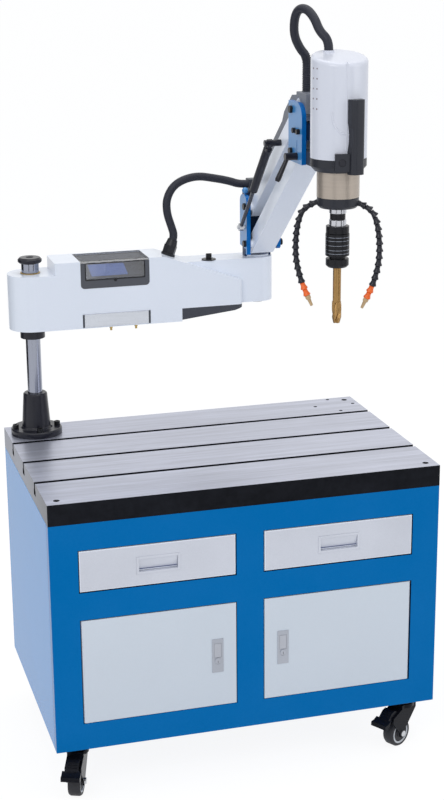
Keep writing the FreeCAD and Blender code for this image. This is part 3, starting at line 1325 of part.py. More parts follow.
def upper_cheek(name, side):
    inner = "dim.cheek_inside"
    outer = "(dim.cheek_inside + dim.cheek_thick)"
    x = (sideways(inner), sideways(outer)) if side > 0 else (sideways(f"-{outer}"), sideways(f"-{inner}"))
    back = ahead("-dim.upper_cheek_back")
    front = ahead("dim.upper_cheek_front")
    low = f"({UPPER_PIVOTS[0]} - dim.upper_cheek_under)"
    high = f"({UPPER_PIVOTS[1]} + dim.upper_cheek_over)"
    cheek = plate(f"upper_cheek_{name}", "YZ_Plane", [(back, low), (back, high), (front, high), (front,
                                                                                                 low)], *x)
    doc.recompute()
    edge = min(vertex.Point.y for vertex in cheek.Shape.Vertexes)
    crown = max(vertex.Point.z for vertex in cheek.Shape.Vertexes)
    return rounded(cheek, "dim.upper_cheek_corner", "x", y=(edge - 1, edge + 1), z=(crown - 1, crown + 1))


def upper_bracket():
    """Two cheeks joined by a cross block; the lower front of each is slit for the tilt clamp."""
    cheeks = [upper_cheek("left", -1), upper_cheek("right", 1)]
    low = f"({UPPER_PIVOTS[0]} + dim.cross_block_low)"
    cross = block("cross_block", (sideways("-dim.cheek_inside"), sideways("dim.cheek_inside")),
                  (ahead("dim.cross_block_front"), ahead("dim.cross_block_back")),
                  (low, f"{low} + dim.cross_block_height"))
    outer = "(dim.cheek_inside + dim.cheek_thick)"
    bores = pivot_bores("upper_bracket", UPPER_PIVOT_Y, UPPER_PIVOTS, "dim.pivot_radius + dim.shaft_gap")
    tilt_bore = rod("tilt_bore", "dim.pivot_radius + dim.shaft_gap", "x", (TILT_Y, TILT_Z),
                    (sideways(f"-{outer}"), sideways(outer)))
    slit_low = f"({TILT_Z} + dim.pivot_radius)"
    slit = block("clamp_slit", (sideways(f"-{outer}"), sideways(outer)),
                 (f"{TILT_Y} - 1.5", f"{TILT_Y} + 1.5"),
                 (slit_low, f"{slit_low} + 32"))
    return cut("upper_bracket", fuse("upper_bracket_solid", cross, *cheeks), tilt_bore, slit, *bores)


def tilt_bolt():
    """The bolt through cheeks and tilt block; the clamp lever turns on its left end."""
    outer = "(dim.cheek_inside + dim.cheek_thick)"
    shank = rod("tilt_shank", "dim.pivot_radius", "x", (TILT_Y, TILT_Z),
                (sideways(f"(-{outer} - 16)"), sideways(outer)))
    head = rod("tilt_head", "dim.pivot_head_radius", "x", (TILT_Y, TILT_Z),
               (sideways(outer), sideways(f"({outer} + dim.pivot_head)")))
    return fuse("tilt_bolt", shank, head)


def clamp_screws():
    """Black cap screws through the left and right cheeks into the cross block."""
    outer = "(dim.cheek_inside + dim.cheek_thick)"
    height = f"({UPPER_PIVOTS[0]} + dim.cross_block_low + dim.cross_block_height / 2)"
    heads = []
    for i, distance in enumerate(("dim.clamp_screw_near", "dim.clamp_screw_far")):
        for side in (-1, 1):
            x = ((sideways(outer), sideways(f"({outer} + dim.clamp_screw_head)")) if side > 0 else
                 (sideways(f"(-{outer} - dim.clamp_screw_head)"), sideways(f"-{outer}")))
            heads.append(rod(f"clamp_screw_{i}_{side + 1}", "dim.clamp_screw_radius", "x",
                             (ahead(distance), height), x))
    return heads


def clamp_lever():
    """A hub on the tilt bolt with a tapered handle that hangs down and outwards."""
    outer = "(dim.cheek_inside + dim.cheek_thick)"
    hub_face = sideways(f"(-{outer} - dim.running_gap)")
    hub = rod("lever_hub", "dim.clamp_hub_radius", "x", (TILT_Y, TILT_Z),
              (f"{hub_face} - dim.clamp_hub_length", hub_face))
    bore = rod("lever_bore", "dim.pivot_radius + dim.shaft_gap", "x", (TILT_Y, TILT_Z),
               (f"{hub_face} - 17", hub_face))
    handle = turned("lever_handle", [("0", "0"), ("5", "0"), ("7", "58"), ("5", "64"), ("0", "64")])
    handle.Placement = Placement(Vector(), Rotation(Vector(0, 0, 1), Vector(-0.47, 0, -1)))
    locate(handle, f"{hub_face} - 22", TILT_Y, TILT_Z)
    return cut("clamp_lever", fuse("lever_solid", hub, handle), bore)


def cable_box():
    """The grey box between the cheeks' tops that the head cable leaves."""
    high = f"({UPPER_PIVOTS[1]} + dim.cable_box_high)"
    corners = [(ahead("dim.cable_box_back"), f"{UPPER_PIVOTS[1]} + dim.cable_box_shelf"),
               (ahead("dim.cable_box_back"), high), (ahead("dim.cable_box_front"), high),
               (ahead("dim.cable_box_front"), f"{UPPER_PIVOTS[1]} + dim.cable_box_low"),
               (ahead("dim.cable_box_mid"), f"{UPPER_PIVOTS[1]} + dim.cable_box_low"),
               (ahead("dim.cable_box_mid"), f"{UPPER_PIVOTS[1]} + dim.cable_box_shelf")]
    return plate("cable_box", "YZ_Plane", corners, sideways("-dim.cheek_inside"),
                 sideways("dim.cheek_inside"))


# ---------------------------------------------------------------- tapping head

HEAD_Y = ahead("dim.head_forward")
HEAD = (KNUCKLE_X, HEAD_Y)


def head_spot():
    """The head's axis as numbers."""
    run = size("link_length") * math.cos(math.radians(size("link_elevation")))
    x = size("column_x") + size("arm_length")
    return x, size("column_y") - size("pivot_forward") - run - size("head_forward")


def tilt_block():
    """The arm that carries the head: round on the tilt bolt, hollowed to the cover behind."""
    half = "(dim.cheek_inside - dim.running_gap)"
    axle = rod("tilt_barrel", "dim.tilt_radius", "x", (TILT_Y, TILT_Z),
               (sideways(f"-{half}"), sideways(half)))
    low = f"({TILT_Z} - dim.tilt_radius)"
    ring_high = above("dim.head_ring_high")
    corners = [(TILT_Y, low), (f"{HEAD_Y} + dim.gearbox_radius", low),
               (f"{HEAD_Y} + dim.gearbox_radius", f"{ring_high} + dim.tilt_rise"),
               (f"{HEAD_Y} + dim.head_radius + dim.tilt_web", f"{ring_high} + dim.tilt_rise"),
               (f"{HEAD_Y} + dim.head_radius + dim.tilt_web", f"{TILT_Z} + dim.tilt_radius"),
               (TILT_Y, f"{TILT_Z} + dim.tilt_radius")]
    arm = plate("tilt_arm", "YZ_Plane", corners, sideways(f"-{half}"), sideways(half))
    seat = rod("tilt_seat", "dim.head_radius + dim.shaft_gap", "z", HEAD,
               (above("dim.gearbox_low"), above("dim.head_cover_high")))
    bore = rod("tilt_block_bore", "dim.pivot_radius + dim.shaft_gap", "x", (TILT_Y, TILT_Z),
               (sideways(f"-{half}"), sideways(half)))
    return cut("tilt_block", fuse("tilt_solid", axle, arm), seat, bore)


def head_housings():
    ring = turned("cover_base_ring", [("dim.spindle_radius + 4", above("dim.head_ring_low")),
                                      ("dim.head_radius - 10", above("dim.head_ring_low")),
                                      ("dim.head_radius", above("(dim.head_ring_low + 12)")),
                                      ("dim.head_radius", above("dim.head_ring_high")),
                                      ("dim.spindle_radius + 4", above("dim.head_ring_high"))], *HEAD)
    gearbox = turned("gearbox_body", [("dim.spindle_radius + 4", above("dim.gearbox_low")),
                                      ("dim.gearbox_radius", above("dim.gearbox_low")),
                                      ("dim.gearbox_radius", above("dim.head_ring_low")),
                                      ("dim.spindle_radius + 4", above("dim.head_ring_low"))], *HEAD)
    lower = turned("gearbox_ring", [("dim.spindle_radius + dim.shaft_gap", above("dim.lower_ring_low")),
                                    ("dim.lower_ring_radius - 6", above("dim.lower_ring_low")),
                                    ("dim.lower_ring_radius", above("(dim.lower_ring_low + 6)")),
                                    ("dim.lower_ring_radius", above("dim.gearbox_low")),
                                    ("dim.spindle_radius + dim.shaft_gap", above("dim.gearbox_low"))],
                                    *HEAD)
    return group("head_rings", ring, lower), motor_cover(), gearbox


def motor_cover():
    """A round moulded shell whose top falls towards the front, with a boss where the cable goes in."""
    low = above("dim.head_ring_high")
    peak = above("dim.head_cover_high")
    radius = "dim.head_radius"
    wall = "dim.head_cover_wall"
    back = f"({HEAD_Y} + {radius})"
    front = f"({HEAD_Y} - {radius})"
    lip = f"({peak} - dim.head_cover_fall)"
    x = (sideways(f"-{radius}"), sideways(radius))
    shell = rod("cover_outside", radius, "z", HEAD, (low, peak))
    slope = plate("cover_slope", "YZ_Plane", [(back, peak), (front, lip), (front, peak)], *x)
    room = rod("cover_inside", f"{radius} - {wall}", "z", HEAD, (low, peak))
    ceiling = plate("cover_ceiling", "YZ_Plane",
                    [(back, f"{peak} - {wall}"), (front, f"{lip} - {wall}"), (front, peak), (back, peak)],
                    *x)
    boss = rod("cable_boss", "dim.cable_radius + 2", "z", cable_entry(),
               (lip, f"{peak} - dim.cable_entry_low"))
    outside = fuse("cover_blank", cut("cover_shell", shell, slope), boss)
    return cut("motor_cover", outside, cut("cover_room", room, ceiling))


def cable_entry():
    """Where the head cable goes into the cover, behind and to the left of the head's axis."""
    return sideways("(-dim.cable_entry_side)"), f"({HEAD_Y} + dim.cable_entry_back)"


def servo_motor():
    """The servo motor under the cover, on the base ring."""
    low = above("dim.head_ring_high")
    half = "dim.motor_half"
    x = (sideways(f"-{half}"), sideways(half))
    y = (f"{HEAD_Y} - {half}", f"{HEAD_Y} + {half}")
    frame = block("motor_frame", x, y, (low, f"{low} + dim.motor_frame"))
    encoder = rod("motor_encoder", "dim.encoder_radius", "z", HEAD,
                  (f"{low} + dim.motor_frame", f"{low} + dim.motor_height"))
    return fuse("servo_motor", frame, encoder)


def spindle_parts():
    """Spindle, quick-change chuck with its sliding sleeve, and the tap."""
    top = above("(dim.head_ring_high - 1)")
    low = above("dim.spindle_low")
    radius = "dim.spindle_radius"
    nose = turned("spindle_nose", [("0", low), (radius, low), (radius, above("(dim.spindle_low + 14)")),
                                   (f"{radius} - 2", above("(dim.spindle_low + 15)")),
                                   (f"{radius} - 2", above("(dim.spindle_low + 29)")),
                                   (radius, above("(dim.spindle_low + 30)")), (radius, top), ("0", top)],
                                   *HEAD)
    chuck_low = above("dim.chuck_low")
    waist = "(dim.sleeve_radius - 5)"
    body = "dim.chuck_radius"
    chuck = turned("chuck_body", [("dim.tap_shank_radius + dim.shaft_gap", chuck_low), (f"{body} - 5",
                                                                                        chuck_low),
                                  (body, f"{chuck_low} + 5"),
                                  (body, above("(dim.sleeve_low - dim.sleeve_travel - 1)")),
                                  (waist, above("(dim.sleeve_low - dim.sleeve_travel - 1)")),
                                  (waist, above("(dim.sleeve_high + 1)")),
                                  (body, above("(dim.sleeve_high + 1)")),
                                  (body, low), ("0", low), ("0", f"{chuck_low} + 40"),
                                  ("dim.tap_shank_radius + dim.shaft_gap", f"{chuck_low} + 40")], *HEAD)
    inner = f"{waist} + dim.shaft_gap"
    sleeve = turned("chuck_sleeve", [(inner, above("dim.sleeve_low")), (f"{body} + 1",
                                                                        above("dim.sleeve_low")),
                                     (f"{body} + 1", above("dim.sleeve_high")),
                                     (inner, above("dim.sleeve_high"))], *HEAD)
    shank = "dim.tap_shank_radius"
    flute = "dim.tap_flute_radius"
    tap = turned("tap", [("0", above("dim.tap_low")), (f"{flute} - 4", above("dim.tap_low")),
                         (flute, above("(dim.tap_low + 14)")), (flute, above("dim.tap_shank_low")),
                         (shank, above("(dim.tap_shank_low + 3)")), (shank, f"{chuck_low} + 39.7"),
                         ("0", f"{chuck_low} + 39.7")], *HEAD)
    return group("spindle", nose, chuck), sleeve, tap


def on_cover(obj, bearing):
    """Moves a piece drawn in front of the head's axis round it by its bearing."""
    x, y = head_spot()
    angle = size(bearing)
    turn = Rotation(Vector(0, 0, 1), angle)
    obj.Placement = Placement(Vector(x, y, 0), turn)
    return obj


def grip_bar():
    """The upright grip on the front of the cover, waisted for the hand."""
    radius = "dim.head_radius"
    low = above("dim.grip_low")
    high = above("dim.grip_high")
    half = "dim.grip_width / 2"
    front = f"6 - {radius} - dim.grip_depth"
    back = f"10 - {radius}"
    corners = [(f"-{half}", front), (half, front), (half, back), (f"-{half}", back)]
    bar = plate("grip_blank", "XY_Plane", corners, low, high)
    face = 6 - size("head_radius") - size("grip_depth")
    rounded(bar, "dim.grip_rounding", "z", y=(face - 1, face + 1))
    seat = rod("grip_seat", "dim.head_radius + dim.shaft_gap", "z", ("0", "0"),
               (f"{low} - 5", f"{high} + 5"))
    waist = "(dim.grip_high - dim.grip_low)"
    scoops = [rod(f"grip_waist_{side + 1}", waist, "y",
                  (f"{side} * ({half} + {waist} - dim.grip_waist)", f"{low} + {waist} / 2"),
                  (f"{front} - 5", back)) for side in (-1, 1)]
    return on_cover(cut("grip_handle", bar, seat, *scoops), "grip_bearing")


def switch_housing():
    """The switch box beside the grip, with a round well for the button."""
    half = "dim.switch_width / 2"
    radius = "dim.head_radius"
    low = above("dim.switch_low")
    high = f"({low} + dim.switch_height)"
    box = block("switch_box", (f"-{half}", half), (f"-{radius} - dim.switch_depth + 8", f"8 - {radius}"),
                (low, high))
    seat = rod("switch_seat", "dim.head_radius + dim.shaft_gap", "z", ("0", "0"),
               (f"{low} - 5", f"{high} + 5"))
    well = rod("button_well", "dim.button_radius + dim.running_gap", "y",
               ("0", f"{low} + dim.switch_height / 2"),
               (f"-{radius} - dim.switch_depth + 8", f"-{radius} - 1"))
    return on_cover(cut("switch_housing", box, seat, well), "switch_bearing")


def grip_button():
    radius = "dim.head_radius"
    face = f"-{radius} - dim.switch_depth + 8"
    height = above("(dim.switch_low + dim.switch_height / 2)")
    button = rod("grip_button", "dim.button_radius", "y", ("0", height),
                 (f"{face} - 1", f"-{radius} - 1 - dim.button_travel - dim.running_gap"))
    return group("start_button", button)


# ---------------------------------------------------------------- cords

def route_wire(points):
    """Straight runs joined by tangent arcs; prints each arc's radius."""
    edges = []
    start = points[0]
    radii = []
    for before, corner, after in zip(points, points[1:], points[2:]):
        to_corner = corner.sub(before)
        from_corner = after.sub(corner)
        turn = to_corner.getAngle(from_corner)
        shorter = min(to_corner.Length, from_corner.Length)
        trim = 0.45 * shorter
        radii.append(trim / math.tan(turn / 2))
        leave = corner.sub(Vector(to_corner).normalize().multiply(trim))
        arrive = corner.add(Vector(from_corner).normalize().multiply(trim))
        bisector = leave.add(arrive).multiply(0.5).sub(corner)
        depth = radii[-1] / math.cos(turn / 2) - radii[-1]
        middle = corner.add(bisector.normalize().multiply(depth))
        edges.append(Part.LineSegment(start, leave).toShape())
        edges.append(Part.Arc(leave, middle, arrive).toShape())
        start = arrive
    edges.append(Part.LineSegment(start, points[-1]).toShape())
    return Part.Wire(edges), radii


def cord(label, points, radius):
    """A plain tube along a route."""
    wire, radii = route_wire(points)
    first = points[1].sub(points[0])
    section = Part.Wire(Part.makeCircle(radius, points[0], first))
    tube = wire.makePipeShell([section], True, True)
    expected = math.pi * radius ** 2 * wire.Length
    print(f"{label}: length {wire.Length:.1f}, radii {[round(value) for value in radii]}, "
          f"volume ratio {tube.Volume / expected:.4f}")
    piece = doc.addObject("Part::Feature", label)
    piece.Shape = tube
    return piece


ARM_CABLE_RUN = [(383, 538), (371, 575), (371, 615), (396, 653), (451, 670), (506, 660), (545, 651),
                 (572, 641)]
HEAD_CABLE_RUN = [(-14, 186.01, 966), (-14, 185.01, 1008), (-33, 181.01, 1027), (-51, 173.01, 1059),
                  (-55, 159.01, 1098), (-52, 138.01, 1121), (-42, 109.01, 1123), (-33, 79.01, 1103),
                  (-29, 56.01, 1075)]
HOSE_RUN = [(50, 689), (76, 679), (92, 649), (99, 605), (99, 557), (90, 515), (76, 477), (58, 439)]
GLAND_STRAIGHT = 12
BOX_STRAIGHT = 22
HOSE_BEARINGS = {"left": 150, "right": -30}
TURRET_BOX_BACK = 24


def table_top():
    """The height of the table's top, as a number."""
    return size("castor_height") + size("cabinet_height") + size("table_thick")


def arm_cable():
    """From the gland on the slope, over, and level into the turret's cable box."""
    lean = slope_angle()
    x = size("gland_x")
    foot = size("box_high") - (x - size("slope_start")) * math.tan(lean)
    start = [(x + reach * math.sin(lean), foot + reach * math.cos(lean))
             for reach in (size("gland_height"), size("gland_height") + GLAND_STRAIGHT)]
    end = (size("arm_length") - TURRET_BOX_BACK, ARM_CABLE_RUN[-1][1])
    spots = start + ARM_CABLE_RUN + [end]
    points = [Vector(size("column_x") + x, size("column_y"), table_top() + z) for x, z in spots]
    return cord("arm_cable", points, size("cable_radius"))


def head_cable():
    """From the bracket's box up, back over, and straight down into the cover's boss."""
    x, y = head_spot()
    first = HEAD_CABLE_RUN[0]
    entry = (-size("cable_entry_side"), size("cable_entry_back"))
    socket = size("head_cover_high") - size("cable_entry_low")
    rise = size("link_length") * math.sin(math.radians(size("link_elevation")))
    box_top = size("pivot_high") + size("pivot_spacing") + rise + size("cable_box_high")
    spots = [(first[0], first[1], box_top)] + HEAD_CABLE_RUN
    spots += [(*entry, socket + BOX_STRAIGHT), (*entry, socket)]
    points = [Vector(x + across, y + back, table_top() + z) for across, back, z in spots]
    return cord("head_cable", points, size("cable_radius"))


def coolant_hose(label, bearing):
    """A beaded hose from the ring down to a nozzle that points at the tap."""
    x, y = head_spot()
    angle = math.radians(bearing)
    points = [Vector(x + out * math.cos(angle), y + out * math.sin(angle), table_top() + z)
              for out, z in HOSE_RUN]
    return cord(label, points, size("hose_radius"))


# ---------------------------------------------------------------- assembly

dividers, runners = cabinet_inside()
sub_parts = [cabinet_body(), front_frame(), dividers, cabinet_hardware(runners), castor_plates(),
             t_slot_table(), group("socket_screws", *table_screws(), *column_bolts()), column_base(),
             *column_parts()]

for name, side in (("left", -1), ("right", 1)):
    sub_parts += [drawer(f"drawer_{name}", side), door(f"door_{name}", side),
                  lock_lever(f"lock_lever_{name}", side)]

for name, (side, end, bearing) in CASTORS.items():
    sub_parts += [castor_fork(name, side, end, bearing), castor_wheel(name, side, end, bearing)]
    if name in BRAKED:
        sub_parts.append(turned_about(brake_pedal(name), side, end, bearing))

sub_parts += [arm_beam(), arm_bushes(), group("arm_trims", lower_trim(), controller_frame()),
              group("arm_fittings", cable_gland(), *fluid_fittings()), control_panel(), controller_lid(),
              arm_lock_knob(), turret_bracket(), turret_plunger(), swivel_shaft(), turret_cable_box(),
              group("turret_pins", *pivot_pins("turret_pin", LOWER_PIVOT_Y, LOWER_PIVOTS))]

cylinder, spring_rod, spring_stud = gas_spring()
sub_parts += [link("lower_link", LOWER_PIVOTS[0]), link("upper_link", LOWER_PIVOTS[1], *spring_stud),
              link_cover(), cylinder, spring_rod]

sub_parts += [upper_bracket(), clamp_lever(), cable_box(), tilt_block(), *head_housings(), servo_motor(),
              group("bracket_pins", *pivot_pins("bracket_pin", UPPER_PIVOT_Y, UPPER_PIVOTS), tilt_bolt(),
                    *clamp_screws()),
              *spindle_parts(), group("grip_bar", grip_bar(), switch_housing()),
              on_cover(grip_button(), "switch_bearing"),
              arm_cable(), head_cable(),
              group("coolant_hoses", *[coolant_hose(f"hose_{side}", bearing)
                                       for side, bearing in HOSE_BEARINGS.items()])]

doc.recompute()

faults = [f"{item.Name}: {item.State}" for item in doc.Objects
          if "Invalid" in item.State or "Error" in item.State]
faults += [f"{item.Label}: bad shape" for item in sub_parts
           if item.Shape.isNull() or not item.Shape.isValid()]
if faults:
    raise RuntimeError("; ".join(faults))

os.makedirs("parts", exist_ok=True)
for item in sub_parts:
    item.Shape.exportStep(os.path.join("parts", f"{item.Label}.step"))
print(f"{len(sub_parts)} sub-parts written")
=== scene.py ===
import bmesh
import bpy
import json
import math
from mathutils import Matrix, Vector


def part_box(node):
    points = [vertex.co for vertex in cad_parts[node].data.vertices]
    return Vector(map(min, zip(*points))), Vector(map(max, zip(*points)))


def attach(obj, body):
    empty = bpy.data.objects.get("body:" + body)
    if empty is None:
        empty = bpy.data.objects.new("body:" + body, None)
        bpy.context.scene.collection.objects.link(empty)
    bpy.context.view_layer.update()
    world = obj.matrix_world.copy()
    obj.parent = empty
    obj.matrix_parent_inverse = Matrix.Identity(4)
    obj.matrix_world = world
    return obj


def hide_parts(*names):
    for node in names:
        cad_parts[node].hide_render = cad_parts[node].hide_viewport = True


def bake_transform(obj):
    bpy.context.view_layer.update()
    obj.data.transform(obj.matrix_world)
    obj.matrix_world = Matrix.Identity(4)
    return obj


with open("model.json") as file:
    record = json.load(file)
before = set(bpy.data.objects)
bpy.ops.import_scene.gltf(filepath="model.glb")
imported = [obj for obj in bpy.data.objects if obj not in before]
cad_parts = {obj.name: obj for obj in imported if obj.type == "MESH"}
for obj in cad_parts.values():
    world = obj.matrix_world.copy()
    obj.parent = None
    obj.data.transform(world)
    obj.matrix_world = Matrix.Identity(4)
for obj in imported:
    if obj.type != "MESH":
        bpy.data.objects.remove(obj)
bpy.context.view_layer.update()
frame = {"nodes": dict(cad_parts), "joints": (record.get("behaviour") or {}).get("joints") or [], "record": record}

# Viewpoint: a standing eye in front of the machine and a little to its left, looking slightly
# down through a long lens that is held a shade off level.
eye = Vector((-1.09773, -3.92467, 2.10314))
heading, dip, lean = math.radians(-15.95), math.radians(-16.33), math.radians(-0.48)
ahead = Vector((-math.sin(heading) * math.cos(dip), math.cos(heading) * math.cos(dip), math.sin(dip)))
level_right = ahead.cross(Vector((0, 0, 1))).normalized()
level_up = level_right.cross(ahead)
right = level_right * math.cos(lean) + level_up * math.sin(lean)
up = level_up * math.cos(lean) - level_right * math.sin(lean)
scene = bpy.context.scene


def placed(name, data):
    """A new object in the scene."""
    thing = bpy.data.objects.new(name, data)
    scene.collection.objects.link(thing)
    return thing


lens = bpy.data.cameras.new("viewer")
lens.lens = 73.64
lens.sensor_width = 36
lens.clip_end = 200
viewer = placed("viewer", lens)
viewer.matrix_world = Matrix((
    (right.x, up.x, -ahead.x, eye.x),
    (right.y, up.y, -ahead.y, eye.y),
    (right.z, up.z, -ahead.z, eye.z),
    (0, 0, 0, 1)))
scene.camera = viewer
scene.view_settings.view_transform = "Standard"


# Studio: a white sweep that stays white to the eye and in bright metal, three soft boxes that
# give the enamel its long highlights, and three black flags that draw the edges of the chrome.
def knot(tree, kind, feeds=None, **values):
    """A node with its sockets and settings filled in; feeds gives some inputs another node's output
    or, where an input has no name of its own, a plain value."""
    node = tree.nodes.new(kind if kind.startswith("GeometryNode") else "ShaderNode" + kind)
    for name, value in values.items():
        socket = node.inputs.get(name.replace("_", " "))
        if socket is not None:
            socket.default_value = value
        else:
            setattr(node, name, value)
    for key, source in (feeds or {}).items():
        if isinstance(source, bpy.types.NodeSocket):
            tree.links.new(source, node.inputs[key])
        else:
            node.inputs[key].default_value = source
    return node


studio = bpy.data.worlds.new("studio")
studio.use_nodes = True
air = studio.node_tree
air.nodes.clear()
seen = knot(air, "LightPath")
bright = knot(air, "Math", {0: seen.outputs["Is Camera Ray"], 1: seen.outputs["Is Glossy Ray"]},
              operation="MAXIMUM")
through = knot(air, "Math", {0: bright.outputs[0], 1: seen.outputs["Is Transmission Ray"]},
               operation="MAXIMUM")
dim_air = knot(air, "Background", Color=(0.93, 0.96, 1.0, 1), Strength=0.62)
white_air = knot(air, "Background", Color=(1, 1, 1, 1), Strength=1.0)
choice = knot(air, "MixShader", {0: through.outputs[0], 1: dim_air.outputs[0], 2: white_air.outputs[0]})
knot(air, "OutputWorld", {0: choice.outputs[0]})
scene.world = studio

sweep_mesh = bpy.data.meshes.new("floor")
sweep_mesh.from_pydata([(-70, -70, 0), (70, -70, 0), (70, 70, 0), (-70, 70, 0)], [], [(0, 1, 2, 3)])
sweep = placed("floor", sweep_mesh)
paper = bpy.data.materials.new("white_sweep")
paper.use_nodes = True
tree = paper.node_tree
tree.nodes.clear()
matt = knot(tree, "BsdfDiffuse", Color=(0.86, 0.87, 0.88, 1))
glow = knot(tree, "Emission", Color=(1, 1, 1, 1), Strength=1.1)
seen = knot(tree, "LightPath")
looked_at = knot(tree, "Math", {0: seen.outputs["Is Camera Ray"], 1: seen.outputs["Is Glossy Ray"]},
                 operation="MAXIMUM")
share = knot(tree, "Math", {0: looked_at.outputs[0], 1: 0.82}, operation="MULTIPLY")
mixed = knot(tree, "MixShader", {0: share.outputs[0], 1: matt.outputs[0], 2: glow.outputs[0]})
knot(tree, "OutputMaterial", {0: mixed.outputs[0]})
sweep_mesh.materials.append(paper)

lit_point = Vector((0, 0, 0.9))
for name, place, size, power in (("key_box", (-2.6, -3.4, 3.8), 2.4, 62),
                                 ("fill_box", (3.2, -2.6, 2.6), 2.2, 26),
                                 ("top_box", (0.2, 0.4, 4.2), 2.6, 30)):
    box_light = bpy.data.lights.new(name, "AREA")
    box_light.shape = "SQUARE"
    box_light.size = size
    box_light.energy = power
    lamp = placed(name, box_light)
    lamp.location = place
    lamp.rotation_euler = (lit_point - Vector(place)).to_track_quat("-Z", "Y").to_euler()

felt = bpy.data.materials.new("black_felt")
felt.use_nodes = True
felt.node_tree.nodes["Principled BSDF"].inputs["Base Color"].default_value = (0.01, 0.01, 0.012, 1)
turned_to_x = 0.198
for name, x, y, width in (("left_flag", -1.9, -2.9, 0.5), ("right_flag", 1.5, -2.5, 0.6),
                          ("back_flag", -2.0, 1.67, 2.4)):
    side = Vector((turned_to_x - x, -y, 0)).normalized().cross(Vector((0, 0, 1))) * width / 2
    flag_mesh = bpy.data.meshes.new(name)
    flag_mesh.from_pydata([(x - side.x, y - side.y, 0.3), (x + side.x, y + side.y, 0.3),
                           (x + side.x, y + side.y, 2.6), (x - side.x, y - side.y, 2.6)], [],
                          [(0, 1, 2, 3)])
    flag_mesh.materials.append(felt)
    flag = placed(name, flag_mesh)
    flag.visible_camera = False
    flag.visible_diffuse = False
    flag.visible_shadow = False


# Flexible conduits: two charcoal rubber-covered hoses with a fine rib, one from the gland on the
# swing arm to the turret's junction box, one from the bracket's box into the head's cover.
def linear(channel):
    """A colour channel from the 0 to 255 scale, as the shader wants it."""
    share = channel / 255
    return share / 12.92 if share <= 0.04045 else ((share + 0.055) / 1.055) ** 2.4


def finish(name, rgb, rough=0.4, metal=0.0, grain=0.05, grain_size=300.0, bump=0.01, coat=0.0,
           stretch=(1, 1, 1), tint=None, fade=None, shine=0.5):
    """A surface whose colour and gloss wander over two sizes of mottling, with a fine bump; it can
    darken along an axis, given as (axis, start, end, darkest share); shine is the plain reflection."""
    made = bpy.data.materials.new(name)
    made.use_nodes = True
    tree = made.node_tree
    shader = tree.nodes["Principled BSDF"]
    shader.inputs["Metallic"].default_value = metal
    shader.inputs["Coat Weight"].default_value = coat
    shader.inputs["Specular IOR Level"].default_value = shine
    shader.inputs["Coat Roughness"].default_value = 0.12
    place = knot(tree, "TexCoord")
    scale = knot(tree, "Mapping", {"Vector": place.outputs["Object"]}, Scale=stretch)
    broad = knot(tree, "TexNoise", {"Vector": scale.outputs[0]}, Scale=7.0, Detail=3.0)
    fine = knot(tree, "TexNoise", {"Vector": scale.outputs[0]}, Scale=grain_size, Detail=4.0, Roughness=0.6)
    both = knot(tree, "Math", {0: broad.outputs["Fac"], 1: fine.outputs["Fac"]}, operation="ADD")
    half = knot(tree, "Math", {0: both.outputs[0], 1: 0.5}, operation="MULTIPLY")
    shade = knot(tree, "ValToRGB", {0: half.outputs[0]})
    low = tuple(linear(c) * (1 - grain) for c in rgb)
    high = tuple(min(1.0, linear(c) * (1 + grain) + 0.004) for c in rgb)
    for end, position, colour in zip(shade.color_ramp.elements, (0.35, 0.65), (low, high)):
        end.position = position
        end.color = (*colour, 1)
    tree.links.new(shade.outputs[0], shader.inputs["Base Color"])
    if tint is not None:
        shader.inputs["Specular Tint"].default_value = (*tint, 1)
    if fade is not None:
        axis, start, end, darkest = fade
        split = knot(tree, "SeparateXYZ", {0: place.outputs["Object"]})
        slide = knot(tree, "MapRange", {"Value": split.outputs[axis]}, From_Min=start, From_Max=end,
                     To_Min=1.0, To_Max=darkest)
        dimmed = knot(tree, "VectorMath", {0: shade.outputs[0], "Scale": slide.outputs[0]},
                      operation="SCALE")
        tree.links.new(dimmed.outputs[0], shader.inputs["Base Color"])
    spread = min(0.2, grain * 2)
    gloss = knot(tree, "MapRange", {"Value": half.outputs[0]}, To_Min=rough * (1 - spread),
                 To_Max=min(1.0, rough * (1 + spread)))
    tree.links.new(gloss.outputs[0], shader.inputs["Roughness"])
    if bump > 0:
        relief = knot(tree, "Bump", {"Height": fine.outputs["Fac"]}, Strength=bump * 10, Distance=0.0004)
        tree.links.new(relief.outputs[0], shader.inputs["Normal"])
    return made


def spline_of(name, points):
    """A smooth line that leaves its first point and reaches its last."""
    line = bpy.data.curves.new(name, "CURVE")
    line.dimensions = "3D"
    line.resolution_u = 16
    run = line.splines.new("NURBS")
    run.points.add(len(points) - 1)
    for point, place in zip(run.points, points):
        point.co = (*place, 1)
    run.order_u = 3
    run.use_endpoint_u = True
    return line


def tree_with(name, **inputs):
    """A geometry node tree with these inputs, and their sockets inside it."""
    tree = bpy.data.node_groups.new(name, "GeometryNodeTree")
    for label, kind in inputs.items():
        tree.interface.new_socket(label, in_out="INPUT", socket_type="NodeSocket" + kind)
    tree.interface.new_socket("made", in_out="OUTPUT", socket_type="NodeSocketGeometry")
    return tree, tree.nodes.new("NodeGroupInput").outputs


def ended(tree, shape, material):
    """The tree with its shape made real, in its material, as what it gives out."""
    real = knot(tree, "GeometryNodeRealizeInstances", {0: shape.outputs[0]})
    coat = knot(tree, "GeometryNodeSetMaterial", {"Geometry": real.outputs[0], "Material": material})
    tree.links.new(coat.outputs[0], tree.nodes.new("NodeGroupOutput").inputs[0])
    return tree


